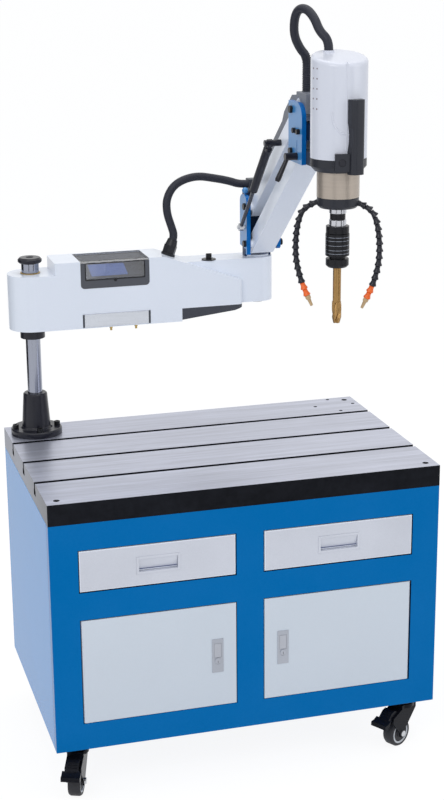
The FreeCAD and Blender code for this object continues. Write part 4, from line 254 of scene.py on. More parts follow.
def rib_tree():
    """Sweeps a round section along a line, with ribs as deep as asked up to a given length."""
    tree, given = tree_with("conduit", line="Geometry", radius="Float", rib_pitch="Float",
                            rib_depth="Float", deep_rib_depth="Float", deep_rib_length="Float",
                            rubber="Material")
    steps_per_rib, sides = 6.0, 24
    pitch = knot(tree, "Math", {0: given["rib_pitch"], 1: steps_per_rib}, operation="DIVIDE")
    step = knot(tree, "GeometryNodeResampleCurve", {"Curve": given["line"], "Length": pitch.outputs[0]},
                mode="LENGTH")
    along = knot(tree, "GeometryNodeSplineParameter").outputs["Length"]
    turns = knot(tree, "Math", {0: along, 1: given["rib_pitch"]}, operation="DIVIDE")
    angle = knot(tree, "Math", {0: turns.outputs[0], 1: 2 * math.pi}, operation="MULTIPLY")
    wave = knot(tree, "Math", {0: angle.outputs[0]}, operation="SINE")
    deep = knot(tree, "Math", {0: along, 1: given["deep_rib_length"]}, operation="LESS_THAN")
    depth = knot(tree, "Mix", {0: deep.outputs[0], 2: given["rib_depth"], 3: given["deep_rib_depth"]})
    ripple = knot(tree, "Math", {0: wave.outputs[0], 1: depth.outputs[0]}, operation="MULTIPLY")
    total = knot(tree, "Math", {0: given["radius"], 1: ripple.outputs[0]}, operation="ADD")
    widen = knot(tree, "GeometryNodeSetCurveRadius", {"Curve": step.outputs[0], "Radius": total.outputs[0]})
    ring = knot(tree, "GeometryNodeCurvePrimitiveCircle", Resolution=sides, Radius=1.0)
    tube = knot(tree, "GeometryNodeCurveToMesh",
                {"Curve": widen.outputs[0], "Profile Curve": ring.outputs[0]}, Fill_Caps=True)
    if "Scale" in tube.inputs:
        tree.links.new(knot(tree, "GeometryNodeInputRadius").outputs[0], tube.inputs["Scale"])
    smooth = knot(tree, "GeometryNodeSetShadeSmooth", {0: tube.outputs[0]})
    return ended(tree, smooth, given["rubber"])


def made_by(tree, name, source, **inputs):
    """The plain mesh that a node tree makes from a source, with its named inputs set."""
    carrier = placed(name + "_maker", source)
    work = carrier.modifiers.new("make", "NODES")
    work.node_group = tree
    for item in tree.interface.items_tree:
        if item.in_out == "INPUT" and item.name in inputs:
            work[item.identifier] = inputs[item.name]
    mesh = bpy.data.meshes.new_from_object(carrier.evaluated_get(bpy.context.evaluated_depsgraph_get()))
    carrier.modifiers.remove(work)
    bpy.data.objects.remove(carrier)
    mesh.name = name
    return placed(name, mesh)


conduit_rubber = finish("conduit_rubber", (42, 44, 54), rough=0.46, grain=0.1, grain_size=400, bump=0.03,
                        shine=0.25)
conduit = rib_tree()
arm_route = [(-.0355, .257, 1.2874), (-.0315, .257, 1.2987), (-.039, .257, 1.323), (-.051, .257, 1.360),
             (-.051, .257, 1.400), (-.026, .257, 1.438), (.029, .257, 1.455), (.084, .257, 1.445),
             (.123, .257, 1.436), (.150, .257, 1.426), (.174, .257, 1.426)]
head_route = [(.184, -.195, 1.7121), (.184, -.195, 1.751), (.184, -.196, 1.793), (.165, -.200, 1.812),
              (.147, -.208, 1.844), (.143, -.222, 1.883), (.146, -.243, 1.906), (.156, -.272, 1.908),
              (.165, -.302, 1.888), (.169, -.325, 1.860), (.186, -.341, 1.840), (.186, -.341, 1.818)]
arm_conduit = made_by(conduit, "arm_conduit", spline_of("arm_line", arm_route), radius=0.0107,
                      rib_pitch=0.0035, rib_depth=0.0001, rubber=conduit_rubber)
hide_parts("arm_cable")
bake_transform(arm_conduit)
head_conduit = made_by(conduit, "head_conduit", spline_of("head_line", head_route), radius=0.0105,
                       rib_pitch=0.0042, rib_depth=0.0001, deep_rib_depth=0.0009, deep_rib_length=0.085,
                       rubber=conduit_rubber)
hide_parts("head_cable")
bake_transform(head_conduit)


# Coolant hoses: strings of snap-together black plastic ball sockets that hold their bend, each
# ending in two orange couplings and a beige nozzle aimed at the tap.
body_holding = {node: body for body, nodes in frame["record"]["behaviour"]["bodies"].items()
                for node in nodes}


def piece_of(name, form, *finishes):
    """A piece from a built shape, in its finishes."""
    mesh = bpy.data.meshes.new(name)
    form.to_mesh(mesh)
    form.free()
    for material in finishes:
        mesh.materials.append(material)
    return placed(name, mesh)


def lathe(name, stations, centre=(0, 0, 0), axis=(0, 0, 1), sides=48, material=None, hoop=False):
    """A turned solid from (radius, height) stations about an axis through a centre; a hoop is open
    in the middle, so its last station joins its first."""
    form = bmesh.new()
    turn = Vector((0, 0, 1)).rotation_difference(Vector(axis)).to_matrix()
    rings = []
    for radius, height in stations:
        if radius < 1e-6:
            rings.append([form.verts.new(turn @ Vector((0, 0, height)) + Vector(centre))])
            continue
        rings.append([form.verts.new(turn @ Vector((radius * math.cos(2 * math.pi * i / sides),
                                                    radius * math.sin(2 * math.pi * i / sides), height))
                                     + Vector(centre)) for i in range(sides)])
    for below, above in zip(rings, rings[1:] + (rings[:1] if hoop else [])):
        for i in range(max(len(below), len(above))):
            corners = [below[i % len(below)], below[(i + 1) % len(below)],
                       above[(i + 1) % len(above)], above[i % len(above)]]
            corners = list(dict.fromkeys(corners))
            if len(corners) > 2:
                form.faces.new(corners)
    for ring in (rings[0], rings[-1]):
        if len(ring) > 2 and not hoop:
            form.faces.new(ring)
    bmesh.ops.recalc_face_normals(form, faces=form.faces)
    for edge in form.edges:
        if len(edge.link_faces) == 2:
            edge.smooth = edge.calc_face_angle() < math.radians(38)
    for face in form.faces:
        face.smooth = True
    return piece_of(name, form, material)


def joined(name, parts):
    """One piece from several, each keeping its own material."""
    form = bmesh.new()
    finishes = []
    for part in parts:
        start = len(form.faces)
        form.from_mesh(part.data)
        form.faces.ensure_lookup_table()
        offset = {}
        for i, material in enumerate(part.data.materials):
            if material not in finishes:
                finishes.append(material)
            offset[i] = finishes.index(material)
        for face in form.faces[start:]:
            face.material_index = offset.get(face.material_index, 0)
        bpy.data.objects.remove(part)
    return piece_of(name, form, *finishes)


def bead_tree():
    """Strings a count of beads of one shape along a share of a line, each turned to the line."""
    tree, given = tree_with("bead_string", line="Geometry", bead="Object", count="Int", share="Float",
                            plastic="Material")
    part = knot(tree, "GeometryNodeTrimCurve", {"Curve": given["line"], 3: given["share"]}, mode="FACTOR")
    spots = knot(tree, "GeometryNodeCurveToPoints", {"Curve": part.outputs[0], "Count": given["count"]},
                 mode="COUNT")
    shape = knot(tree, "GeometryNodeObjectInfo", {"Object": given["bead"]})
    each = knot(tree, "GeometryNodeInstanceOnPoints", {
        "Points": spots.outputs["Points"], "Rotation": spots.outputs["Rotation"],
        "Instance": shape.outputs["Geometry"]})
    return ended(tree, each, given["plastic"])


bead_black = finish("bead_black", (28, 30, 40), rough=0.24, grain=0.15, bump=0.02, shine=0.3)
bead_orange = finish("bead_orange", (240, 104, 30), rough=0.35, grain=0.08, bump=0.02)
nozzle_tan = finish("nozzle_tan", (196, 166, 125), rough=0.45, grain=0.08, grain_size=200, bump=0.02)
head_axis = Vector((0.198, -0.38101, 0))
hose_profile = [(.050, 1.474), (.076, 1.464), (.092, 1.434), (.099, 1.390), (.099, 1.342), (.090, 1.300),
                (.076, 1.262), (.058, 1.224)]
bead_pitch, nozzle_length = 0.0165, 0.024
bead_string = bead_tree()
for side, bearing in (("left", 150), ("right", -30)):
    out = Vector((math.cos(math.radians(bearing)), math.sin(math.radians(bearing)), 0))
    line = spline_of("hose_line", [head_axis + out * r + Vector((0, 0, z)) for r, z in hose_profile])
    carrier = placed("hose_line", line)
    path = bpy.data.meshes.new_from_object(carrier.evaluated_get(bpy.context.evaluated_depsgraph_get()))
    spots = [vertex.co.copy() for vertex in path.vertices]
    bpy.data.objects.remove(carrier)
    steps = [0.0]
    for before, after in zip(spots, spots[1:]):
        steps.append(steps[-1] + (after - before).length)

    def on_line(distance):
        """The point at a distance along the hose."""
        for i in range(len(steps) - 1):
            if steps[i + 1] >= distance:
                share = (distance - steps[i]) / max(steps[i + 1] - steps[i], 1e-9)
                return spots[i].lerp(spots[i + 1], share)
        return spots[-1]

    count = int((steps[-1] - nozzle_length) / bead_pitch)
    socket = [(0, 0), (0.0052, 0), (0.0062, 0.0014), (0.0058, 0.0045), (0.0064, 0.0080), (0.0086, 0.0132),
              (0.0088, 0.0148), (0.0080, 0.0158), (0.0058, 0.0162), (0, 0.0162)]
    one_bead = lathe("bead", socket, sides=20, material=bead_black)
    black = count - 2
    beads = [made_by(bead_string, "bead_run", line, bead=one_bead, count=black,
                     share=(black - 1) * bead_pitch / steps[-1], plastic=bead_black)]
    bpy.data.objects.remove(one_bead)
    for i in range(black, count):
        here, there = on_line(i * bead_pitch), on_line((i + 1) * bead_pitch)
        beads.append(lathe("bead", socket, here, there - here, sides=20, material=bead_orange))
    start = on_line(count * bead_pitch)
    tip = [(0, 0), (0.0062, 0), (0.0066, 0.003), (0.0066, 0.007), (0.0044, 0.010), (0.0034, 0.026),
           (0.0022, 0.0265), (0.0020, 0.020), (0, 0.020)]
    beads.append(lathe("nozzle", tip, start, on_line(steps[-1]) - start, sides=20, material=nozzle_tan))
    collar_at = on_line(0) - (on_line(bead_pitch) - on_line(0)).normalized() * 0.006
    beads.append(lathe("inlet", [(0, 0), (0.0072, 0), (0.0072, 0.007), (0, 0.007)], collar_at,
                       on_line(bead_pitch) - on_line(0), sides=6, material=bead_black))
    hose = joined(f"{side}_coolant_hose", beads)
    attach(hose, "head")
    if side == "left":
        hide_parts("coolant_hoses")


# Cabinet: folded and welded steel sheet on a floor ring, sprayed in a deep gloss blue; the edges
# are folds, so they are slightly round and catch a line of light.
def dressed(name, node, width, material, segments=2, rounds=()):
    """A CAD node's shape with its edges eased by a width, in one finish, standing for the node on
    its body; rounds lists (test on an edge's middle and direction, radius) for larger rounds."""
    sharp = math.radians(32)
    form = bmesh.new()
    form.from_mesh(frame["nodes"][node].data)
    bmesh.ops.remove_doubles(form, verts=form.verts, dist=2e-6)
    bmesh.ops.dissolve_degenerate(form, edges=form.edges, dist=1e-6)
    bmesh.ops.dissolve_limit(form, angle_limit=math.radians(1.0), verts=form.verts, edges=form.edges)
    for test, radius in rounds:
        chosen = [edge for edge in form.edges if len(edge.link_faces) == 2
                  and edge.calc_face_angle() > sharp
                  and test((edge.verts[0].co + edge.verts[1].co) / 2,
                           (edge.verts[1].co - edge.verts[0].co).normalized())]
        bmesh.ops.bevel(form, geom=chosen, offset=radius, offset_type="OFFSET", segments=6, profile=0.5,
                        affect="EDGES", clamp_overlap=True)
    for edge in form.edges:
        if len(edge.link_faces) == 2:
            edge.smooth = edge.calc_face_angle() < sharp
    for face in form.faces:
        face.smooth = True
    piece = piece_of(name, form, material)
    if width > 0:
        ease = piece.modifiers.new("ease", "BEVEL")
        ease.width = width
        ease.segments = segments
        ease.limit_method = "ANGLE"
        ease.angle_limit = sharp
        ease.harden_normals = True
        ease.use_clamp_overlap = True
    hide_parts(node)
    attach(piece, body_holding[node])
    return piece


def repainted(piece, material, test):
    """Puts another finish on the faces of a piece that pass a test."""
    piece.data.materials.append(material)
    for polygon in piece.data.polygons:
        if test(polygon):
            polygon.material_index = len(piece.data.materials) - 1


def in_finish(node, material):
    """Puts a finish on a CAD node that is shown as it is."""
    mesh = frame["nodes"][node].data
    mesh.materials.clear()
    mesh.materials.append(material)


cabinet_blue = finish("cabinet_blue", (0, 106, 176), rough=0.26, grain=0.02, grain_size=260, bump=0.0,
                      tint=(0.05, 0.6, 1.0), shine=0.26)
# Painted light: the carcase is a paler blue than the face frame, standing in for the light on its sides, though
# both are the same blue enamel.
lit_side_blue = finish("lit_side_blue", (0, 130, 205), rough=0.26, grain=0.02, grain_size=260, bump=0.0,
                   tint=(0.1, 0.6, 1.0), shine=0.38)
dressed("carcase", "cabinet_body", 0.0012, lit_side_blue)
face_frame = dressed("face_frame", "front_frame", 0.0010, cabinet_blue)
# Painted shade: the inner edges of the openings and the dividers behind them are a dark blue, for the shade in the
# gaps round the doors and drawers.
opening_shade_blue = finish("opening_shade_blue", (0, 44, 84), rough=0.5, grain=0.06, grain_size=260, bump=0.0,
                      shine=0.1)
opening_x, opening_low, opening_high = 0.47, 0.22, 0.67
repainted(face_frame, opening_shade_blue, lambda face: abs(face.normal.y) < 0.5 and abs(face.center.x) < opening_x
          and opening_low < face.center.z < opening_high)
in_finish("cabinet_dividers", opening_shade_blue)

# Drawers and doors: light grey sprayed sheet fronts. Each drawer has a pressed aluminium cup pull
# let into it; each door a zinc lock plate with a flip handle and a key barrel.
front_grey = finish("front_grey", (208, 216, 226), rough=0.30, grain=0.01, grain_size=260, bump=0.0,
                    coat=0.2)
pull_silver = finish("pull_silver", (205, 208, 218), rough=0.30, metal=0.35, grain_size=500)
lock_zinc = finish("lock_zinc", (172, 176, 186), rough=0.32, metal=0.6, grain=0.06, grain_size=500)
lever_zinc = finish("lever_zinc", (178, 181, 190), rough=0.30, metal=0.6, grain_size=500, bump=0.005)
slit_shade = finish("slit_shade", (92, 100, 136), rough=0.5, grain=0.06, bump=0.0, shine=0.2)
# Painted shade: a dark grey for the shaded sides of the door handle, the ring round the key barrel and the key
# slot.
gap_shade_grey = finish("gap_shade_grey", (92, 96, 106), rough=0.5, grain=0.08)
# Painted highlight: near-white on the rounded rims round each front and on the pull's lip, standing in for the
# light they catch.
edge_highlight = finish("edge_highlight", (232, 236, 246), rough=0.25, metal=0.2, grain=0.02, bump=0.004)


def rounded_outline(left, low, right, high, radii, steps=6):
    """Points round a rectangle whose corners (low left, low right, high right, high left) are round."""
    points = []
    for (x, z), radius, turn in zip(((left, low), (right, low), (right, high), (left, high)), radii,
                                    (180, 270, 0, 90)):
        centre = (x + (radius if x == left else -radius), z + (radius if z == low else -radius))
        for i in range(steps + 1):
            angle = math.radians(turn + 90 * i / steps)
            points.append((centre[0] + radius * math.cos(angle), centre[1] + radius * math.sin(angle)))
    return points


def sheet_of(name, outline, place, low, high, material):
    """A flat piece with an outline, from one depth to another."""
    form = bmesh.new()
    ends = [[form.verts.new(place(u, v, depth)) for u, v in outline] for depth in (low, high)]
    for i in range(len(outline)):
        j = (i + 1) % len(outline)
        form.faces.new((ends[0][i], ends[0][j], ends[1][j], ends[1][i]))
    for end in ends:
        form.faces.new(end)
    bmesh.ops.recalc_face_normals(form, faces=form.faces)
    return piece_of(name, form, material)


sheet_y, rim_y, rim_back_y, recess_y = -0.325, -0.3235, -0.3215, -0.3085
rim_radius, pressed_rim = 0.0026, 0.003
flap_y, flap_z, flap_lean, flap_drop = -0.3252, 0.6246, 0.28, 0.96
key_y, key_z = -0.3266, 0.3276


def near_rim(spot, box, reach):
    """Whether a place is within reach of the outline of a front sheet that fills a box."""
    return spot.y < rim_back_y and any(abs(spot[axis] - corner[axis]) < reach
                                    for corner in box for axis in (0, 2))


def pull_at(middle):
    """Places on the hinged flap of a pull, reach metres down from its top edge and out from it."""
    return lambda x, reach, out: (middle + x, flap_y + flap_lean * reach - out, flap_z - flap_drop * reach)


pull_z, pull_reach = 0.6076, (0.0553, 0.0228)
lock_x, lock_z, lock_reach = 0.0855, 0.34365, (0.0146, 0.0452)
for side, sign in (("left", -1), ("right", 1)):
    for kind, metal, reach in (("drawer", pull_silver, pull_reach), ("door", lock_zinc, lock_reach)):
        node = f"{kind}_{side}"
        box = [Vector(corner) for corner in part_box(node)]
        centre = ((box[0].x + box[1].x) / 2, pull_z) if kind == "drawer" else (sign * lock_x, lock_z)

        def on_metal(face, centre=centre, reach=reach):
            """The faces of the pull or the lock: its rim, and what is inside it and in sight."""
            away_x, away_z = abs(face.center.x - centre[0]), abs(face.center.z - centre[1])
            return away_x < reach[0] and away_z < reach[1] and (
                face.center.y < sheet_y - 0.00001 or away_x < reach[0] - pressed_rim
                and away_z < reach[1] - pressed_rim and face.center.y < recess_y)

        front = dressed(f"{node}_front", node, 0.0009, front_grey, rounds=(
            (lambda spot, way: spot.y < rim_y and near_rim(spot, box, 0.0005), rim_radius),))
        repainted(front, metal, on_metal)
        # The rounded rims round the front get the painted highlight.
        repainted(front, edge_highlight,
                  lambda face: not on_metal(face) and near_rim(face.center, box, rim_radius + 0.0001)
                  and max(abs(way) for way in face.normal) < 0.995)
    in_pull = pull_at(sum(corner[0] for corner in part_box(f"drawer_{side}")) / 2)
    flap = sheet_of(f"pull_flap_{side}", rounded_outline(-0.0480, 0.0, 0.0480, 0.0330, (0.002,) * 4),
                    in_pull, -0.0012, 0, pull_silver)
    # The lip of the pull gets the painted highlight.
    lip = sheet_of(f"pull_lip_{side}", rounded_outline(-0.0480, 0.0312, 0.0480, 0.0336, (0.0005,) * 4),
                   in_pull, 0, 0.0010, edge_highlight)
    # Painted shade: a dark strip across the flap under its lip, for the shadow in the slit.
    slit = sheet_of(f"pull_slit_{side}", rounded_outline(-0.0460, 0.0282, 0.0478, 0.0304, (0.0004,) * 4),
                    in_pull, 0, 0.0005, slit_shade)
    tabs = [sheet_of("pull_tab", rounded_outline(x - 0.0016, -0.0050, x + 0.0016, 0.0385, (0.0008,) * 4),
                     in_pull, 0.0, 0.0006, pull_silver) for x in (-0.0503, 0.0503)]
    pull = joined(f"pull_{side}", [flap, lip, slit] + tabs)
    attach(pull, f"drawer_{side}")
    handle = dressed(f"door_handle_{side}", f"lock_lever_{side}", 0.0005, lever_zinc)
    # The handle's sides and back get the painted shade.
    repainted(handle, gap_shade_grey, lambda face: face.normal.y > -0.5)
    spot = (sign * lock_x, key_y, key_z)
    barrel = [lathe("barrel_ring", [(0.0056, -0.001), (0.0070, -0.001), (0.0070, 0.0006), (0.0056, 0.0010)],
                    spot, (0, -1, 0), 32, gap_shade_grey, True),
              lathe("barrel",
                    [(0, -0.001), (0.0055, -0.001), (0.0055, 0.0012), (0.0046, 0.0018), (0, 0.0018)], spot,
                    (0, -1, 0), 32, lever_zinc),
              sheet_of("key_slot", rounded_outline(-0.0007, -0.0035, 0.0007, 0.0035, (0.0003,) * 4),
                       lambda u, v, w: (spot[0] + u, spot[1] - w, spot[2] + v), 0.0016, 0.0020, gap_shade_grey)]
    key = joined(f"key_barrel_{side}", barrel)
    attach(key, f"door_{side}")
hinge_zinc = finish("hinge_zinc", (150, 152, 156), rough=0.35, metal=0.8, grain=0.1, bump=0.02)
in_finish("cabinet_hardware", hinge_zinc)

# Castors: black moulded twin-wall forks on a black swivel plate, a hard rubber tyre with a pale
# ring moulded into each side, a plated axle nut, and a ribbed brake pedal at the front two.
castor_black = finish("castor_black", (16, 18, 26), rough=0.24, grain=0.1, grain_size=220, bump=0.006,
                      shine=0.1)
tyre_black = finish("tyre_black", (52, 52, 56), rough=0.55, grain=0.12, grain_size=160, bump=0.05,
                    shine=0.25)
ring_pale = finish("ring_pale", (200, 203, 208), grain_size=160, bump=0.02)
plated = finish("plated", (198, 200, 204), rough=0.22, metal=0.95, grain_size=400)
nut_radius, ring_out = 0.0085, 0.0131
dressed("swivel_plates", "castor_plates", 0.0010, castor_black)
for corner in ("front_left", "front_right", "rear_left", "rear_right"):
    fork = dressed(f"fork_{corner}", f"castor_fork_{corner}", 0.0016, castor_black)
    roll = next(joint for joint in frame["joints"] if joint["name"] == f"castor_{corner}_roll")
    hub, axis = Vector(roll["pos_m"]), Vector(roll["axis"])
    repainted(fork, plated, lambda face: (face.center - hub).cross(axis).length < nut_radius)
    dressed(f"wheel_{corner}", f"castor_wheel_{corner}", 0.0008, tyre_black)
    trim = []
    for sense in (-1, 1):
        face_at = hub + axis * sense * ring_out
        trim.append(lathe("ring", [(0.0250, 0), (0.0250, 0.0016), (0.0262, 0.0022), (0.0290, 0.0022),
                                   (0.0300, 0.0014), (0.0300, 0)],
                          face_at, axis * sense, 64, ring_pale, True))
        trim.append(lathe("spokes", [(0, 0), (0.013, 0), (0.013, 0.0024), (0.011, 0.0036), (0, 0.0036)],
                          face_at, axis * sense, 32, castor_black))
    rings = joined(f"wheel_rings_{corner}", trim)
    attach(rings, f"wheel_{corner}")
    if "front" in corner:
        dressed(f"pedal_{corner}", f"brake_pedal_{corner}", 0.0012, castor_black)
        brake = next(joint for joint in frame["joints"] if joint["name"] == f"brake_{corner}")
        across = Vector(brake["axis"])
        onward = Vector((across.y, -across.x, 0))
        ribs = []
        for x, z, half in ((0.0092, 0.0236, 0.012), (0.0133, 0.0201, 0.012), (0.0178, 0.0156, 0.012),
                           (0.0272, 0.0078, 0.012), (0.0462, -0.0020, 0.021), (0.0466, -0.0062, 0.021)):
            ribs.append(lathe("rib", [(0, 0), (0.0008, 0), (0.0012, 0.0006), (0.0012, 2 * half - 0.0006),
                                      (0.0008, 2 * half), (0, 2 * half)],
                              Vector(brake["pos_m"]) + onward * x + Vector((0, 0, z)) - across * half,
                              across, 12, castor_black))
        grips = joined(f"pedal_ribs_{corner}", ribs)
        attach(grips, f"pedal_{corner}")

# Table: a ground cast-iron slab with three T-slots; its top is bright from the grinder with long
# faint strokes, its sides are left in dark casting skin, and its left flank is painted a lighter metal
# grey that darkens towards the front, as painted light from the left.
iron_top = finish("iron_top", (188, 191, 205), rough=0.34, metal=0.72, grain=0.16, grain_size=26,
                  stretch=(0.35, 9, 9))
iron_side = finish("iron_side", (15, 17, 24), rough=0.5, grain=0.3, grain_size=60, bump=0.03, shine=0.08)
lit_iron_flank = finish("lit_iron_flank", (132, 136, 150), rough=0.36, metal=0.6, grain=0.12, grain_size=40,
                    fade=(1, 0.05, -0.33, 0.35))
slab = dressed("slab", "t_slot_table", 0.0006, iron_top)
end_x, end_y, ground_z = 0.4995, 0.3245, 0.7845
repainted(slab, iron_side, lambda face: face.center.z < ground_z and face.normal.z > -0.5
          or abs(face.normal.z) < 0.5 and (abs(face.center.x) > end_x or abs(face.center.y) > end_y))
# Painted light: the left flank is a lighter metal grey that darkens towards the front.
repainted(slab, lit_iron_flank, lambda face: face.center.x < -end_x and abs(face.normal.x) > 0.5)
black_oxide = finish("black_oxide", (30, 31, 35), rough=0.34, metal=0.4, grain=0.2, grain_size=240,
                     bump=0.02, shine=0.3)
dressed("socket_heads", "socket_screws", 0.0006, black_oxide)

# Column: a flanged socket in black enamel bolted to the table, a hard-chromed tube, a black
# collar that carries the arm, a brass wiper ring above it and a mushroom knob on top.
column_black = finish("column_black", (24, 25, 36), rough=0.30, grain=0.12, grain_size=180, bump=0.02,
                      coat=0.15, shine=0.28)
hard_chrome = finish("hard_chrome", (152, 156, 169), rough=0.14, metal=1.0, grain=0.03, bump=0.004)
ring_brass = finish("ring_brass", (176, 148, 92), rough=0.25, metal=0.9, grain_size=200, bump=0.005)
dressed("column_foot", "column_base", 0.0015, column_black)
post = dressed("column_post", "column_tube", 0.0008, hard_chrome)
column_axis = Vector((-0.422, 0.257))
collar_low, collar_high, tube_radius = 1.048, 1.0765, 0.0198
repainted(post, column_black, lambda face: collar_low < face.center.z < collar_high
          and (face.center.xy - column_axis).length > tube_radius)
wiper = lathe("brass_wiper",
              [(0.0232, 0), (0.0262, 0), (0.0262, 0.0016), (0.0250, 0.0024), (0.0232, 0.0024)],
              (*column_axis, 1.2224), material=ring_brass, hoop=True)
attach(wiper, "swing_arm")
dressed("column_knob", "column_cap", 0.0010, column_black)

# Swing arm: an aluminium casting in off-white enamel, filled and sanded so that every edge is
# round; a dark plastic fairing closes it below and a smoked lid covers the controller.
arm_white = finish("arm_white", (230, 236, 247), rough=0.28, grain=0.01, grain_size=240, bump=0.0, coat=0.3)
trim_dark = finish("trim_dark", (62, 65, 74), rough=0.42, grain=0.08, bump=0.03, shine=0.3)
bearing_bronze = finish("bearing_bronze", (170, 128, 72), rough=0.3, metal=0.9, grain=0.1, grain_size=200)
brass_yellow = finish("brass_yellow", (186, 158, 96), rough=0.25, metal=0.9, grain=0.08)
gland_black = finish("gland_black", (30, 31, 36), rough=0.36, grain=0.1, shine=0.3)
screen_glass = finish("screen_glass", (112, 150, 226), rough=0.15, grain=0.04, grain_size=60, bump=0.0)
dressed("arm_casting", "arm_beam", 0.0030, arm_white, segments=3)
window = (-0.300, 1.1825, -0.116, 1.2500)
corner_radius = 0.0097
fills = []
for corner_x, sense in ((window[0], 1), (window[2], -1)):
    arc = [(corner_x + sense * (corner_radius - corner_radius * math.sin(math.radians(angle))),
            window[1] + corner_radius - corner_radius * math.cos(math.radians(angle)))
           for angle in range(0, 91, 15)]
    fills.append(sheet_of("window_fill", [(corner_x, window[1])] + arc, lambda x, z, y: (x, y, z),
                          0.1961, 0.2400, arm_white))
window_fills = joined("window_fills", fills)
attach(window_fills, "swing_arm")


def window_corner(spot, way):
    """The two lower front corners of the window."""
    return (abs(way.y) > 0.9 and abs(spot.z - window[1]) < 0.001 and spot.y < 0.25
            and min(abs(spot.x - window[0]), abs(spot.x - window[2])) < 0.001)


dressed("arm_fairings", "arm_trims", 0.0012, trim_dark, rounds=((window_corner, 0.010),))
in_finish("arm_bushes", bearing_bronze)
fittings = dressed("arm_fitting_set", "arm_fittings", 0.0006, brass_yellow)
barbs_below = 1.2
repainted(fittings, gland_black, lambda face: face.center.z > barbs_below)
plate_silver = finish("plate_silver", (206, 210, 218), rough=0.26, metal=0.75, grain=0.06, grain_size=60,
                      bump=0.004, stretch=(0.3, 1, 8))
# Painted shade: dark blocks at the plate's two ends, for the shadow at the ends of its recess.
plate_end_shade = finish("plate_end_shade", (70, 74, 82), rough=0.35, metal=0.5, grain=0.1, grain_size=200)
plate_back, plate_z, plate_height = 0.1980, 1.0955, 0.0345
port_plate = []
for name, x0, x1, thick, metal in (("port_plate", -0.2925, -0.1200, 0.0014, plate_silver),
                                   ("port_end", -0.2975, -0.2925, 0.0018, plate_end_shade),
                                   ("port_end", -0.1200, -0.1150, 0.0018, plate_end_shade)):
    form = bmesh.new()
    bmesh.ops.create_cube(form, size=1,
                          matrix=Matrix.Translation(((x0 + x1) / 2, plate_back - thick / 2, plate_z))
                          @ Matrix.Diagonal((x1 - x0, thick, plate_height, 1)))
    bmesh.ops.bevel(form, geom=form.edges[:], offset=0.0004, segments=2, affect="EDGES")
    port_plate.append(piece_of(name, form, metal))
ports = joined("port_plate", port_plate)
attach(ports, "swing_arm")
dressed("touch_panel", "control_panel", 0.0010, trim_dark)
lid_smoke = bpy.data.materials.new("lid_smoke")
lid_smoke.use_nodes = True
tree = lid_smoke.node_tree
tree.nodes.clear()
place = knot(tree, "TexCoord")
haze = knot(tree, "TexNoise", {"Vector": place.outputs["Object"]}, Scale=30.0, Detail=3.0)
cloud = knot(tree, "MapRange", {"Value": haze.outputs["Fac"]}, To_Min=0.04, To_Max=0.09)
clear = knot(tree, "BsdfTransparent", Color=(0.76, 0.79, 0.85, 1))
sheen = knot(tree, "BsdfGlossy", {"Roughness": cloud.outputs[0]}, Color=(1, 1, 1, 1))
pane = knot(tree, "MixShader", {0: 0.13, 1: clear.outputs[0], 2: sheen.outputs[0]})
knot(tree, "OutputMaterial", {0: pane.outputs[0]})
front_y, lid_top = 0.196, 1.254
dressed("smoked_lid", "controller_lid", 0.0008, lid_smoke, rounds=((window_corner, 0.010),))


def band(name, outer, inner, place, low, high, material):
    """A flat frame between two outlines of as many points, from one depth to another."""
    form = bmesh.new()
    loops = [[form.verts.new(place(u, v, depth)) for u, v in line]
             for line, depth in ((outer, low), (outer, high), (inner, high), (inner, low))]
    count = len(outer)
    for one, other in zip(loops, loops[1:] + loops[:1]):
        for i in range(count):
            form.faces.new((one[i], one[(i + 1) % count], other[(i + 1) % count], other[i]))
    bmesh.ops.recalc_face_normals(form, faces=form.faces)
    return piece_of(name, form, material)


def on_front(x, z, out):
    """A place on the arm's front, out from it."""
    return (x, front_y - out, z)


def on_lid_top(x, y, out):
    """A place on the lid's top, above it."""
    return (x, y, lid_top + out)


frame_grey = finish("frame_grey", (80, 82, 89), shine=0.3)
line_black = finish("line_black", (24, 25, 29), rough=0.3, grain=0.08, bump=0.006, shine=0.3)
left, low, right, high = window
border = band("window_border", rounded_outline(left, low, right, high, (0.010, 0.010, 0.001, 0.001)),
              rounded_outline(left + 0.012, low + 0.0215, right - 0.012, high - 0.001,
                              (0.003, 0.003, 0.001, 0.001)),
              on_front, -0.0002, 0.0007, frame_grey)
outline = band("lid_outline",
               rounded_outline(left + 0.0115, low + 0.021, right - 0.0115, high - 0.0005, (0.003,) * 4),
               rounded_outline(left + 0.0142, low + 0.0238, right - 0.0142, high - 0.0022, (0.002,) * 4),
               on_front, -0.0002, 0.0013, line_black)
rim = band("lid_rim", rounded_outline(left + 0.0012, 0.2030, right - 0.0012, 0.3065, (0.002,) * 4),
           rounded_outline(left + 0.0034, 0.2055, right - 0.0034, 0.3040, (0.002,) * 4),
           on_lid_top, -0.0002, 0.0005, line_black)
catch = lathe("lid_catch", [(0, -0.001), (0.0046, -0.001), (0.0046, 0.0022), (0.0034, 0.0030), (0, 0.0030)],
              ((left + right) / 2, front_y, low + 0.0205), (0, -1, 0), 24, line_black)
lid_trim = joined("lid_trim", [border, outline, rim, catch])
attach(lid_trim, body_holding["controller_lid"])
screen_way = Vector((0, 0.087, 0.030)).normalized()
panel_foot = (0.205, 1.1985)


def on_panel(x, reach, out):
    """A place on the sloping panel, reach metres up it."""
    return tuple(Vector((x, *panel_foot)) + screen_way * reach
                 + Vector((0, -screen_way.z, screen_way.y)) * out)


screen = sheet_of("touch_screen", rounded_outline(-0.264, 0.026, -0.166, 0.086, (0.003,) * 4), on_panel,
                  -0.001, 0.0008, screen_glass)
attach(screen, "swing_arm")
dressed("lock_knob", "arm_lock_knob", 0.0006, black_oxide)

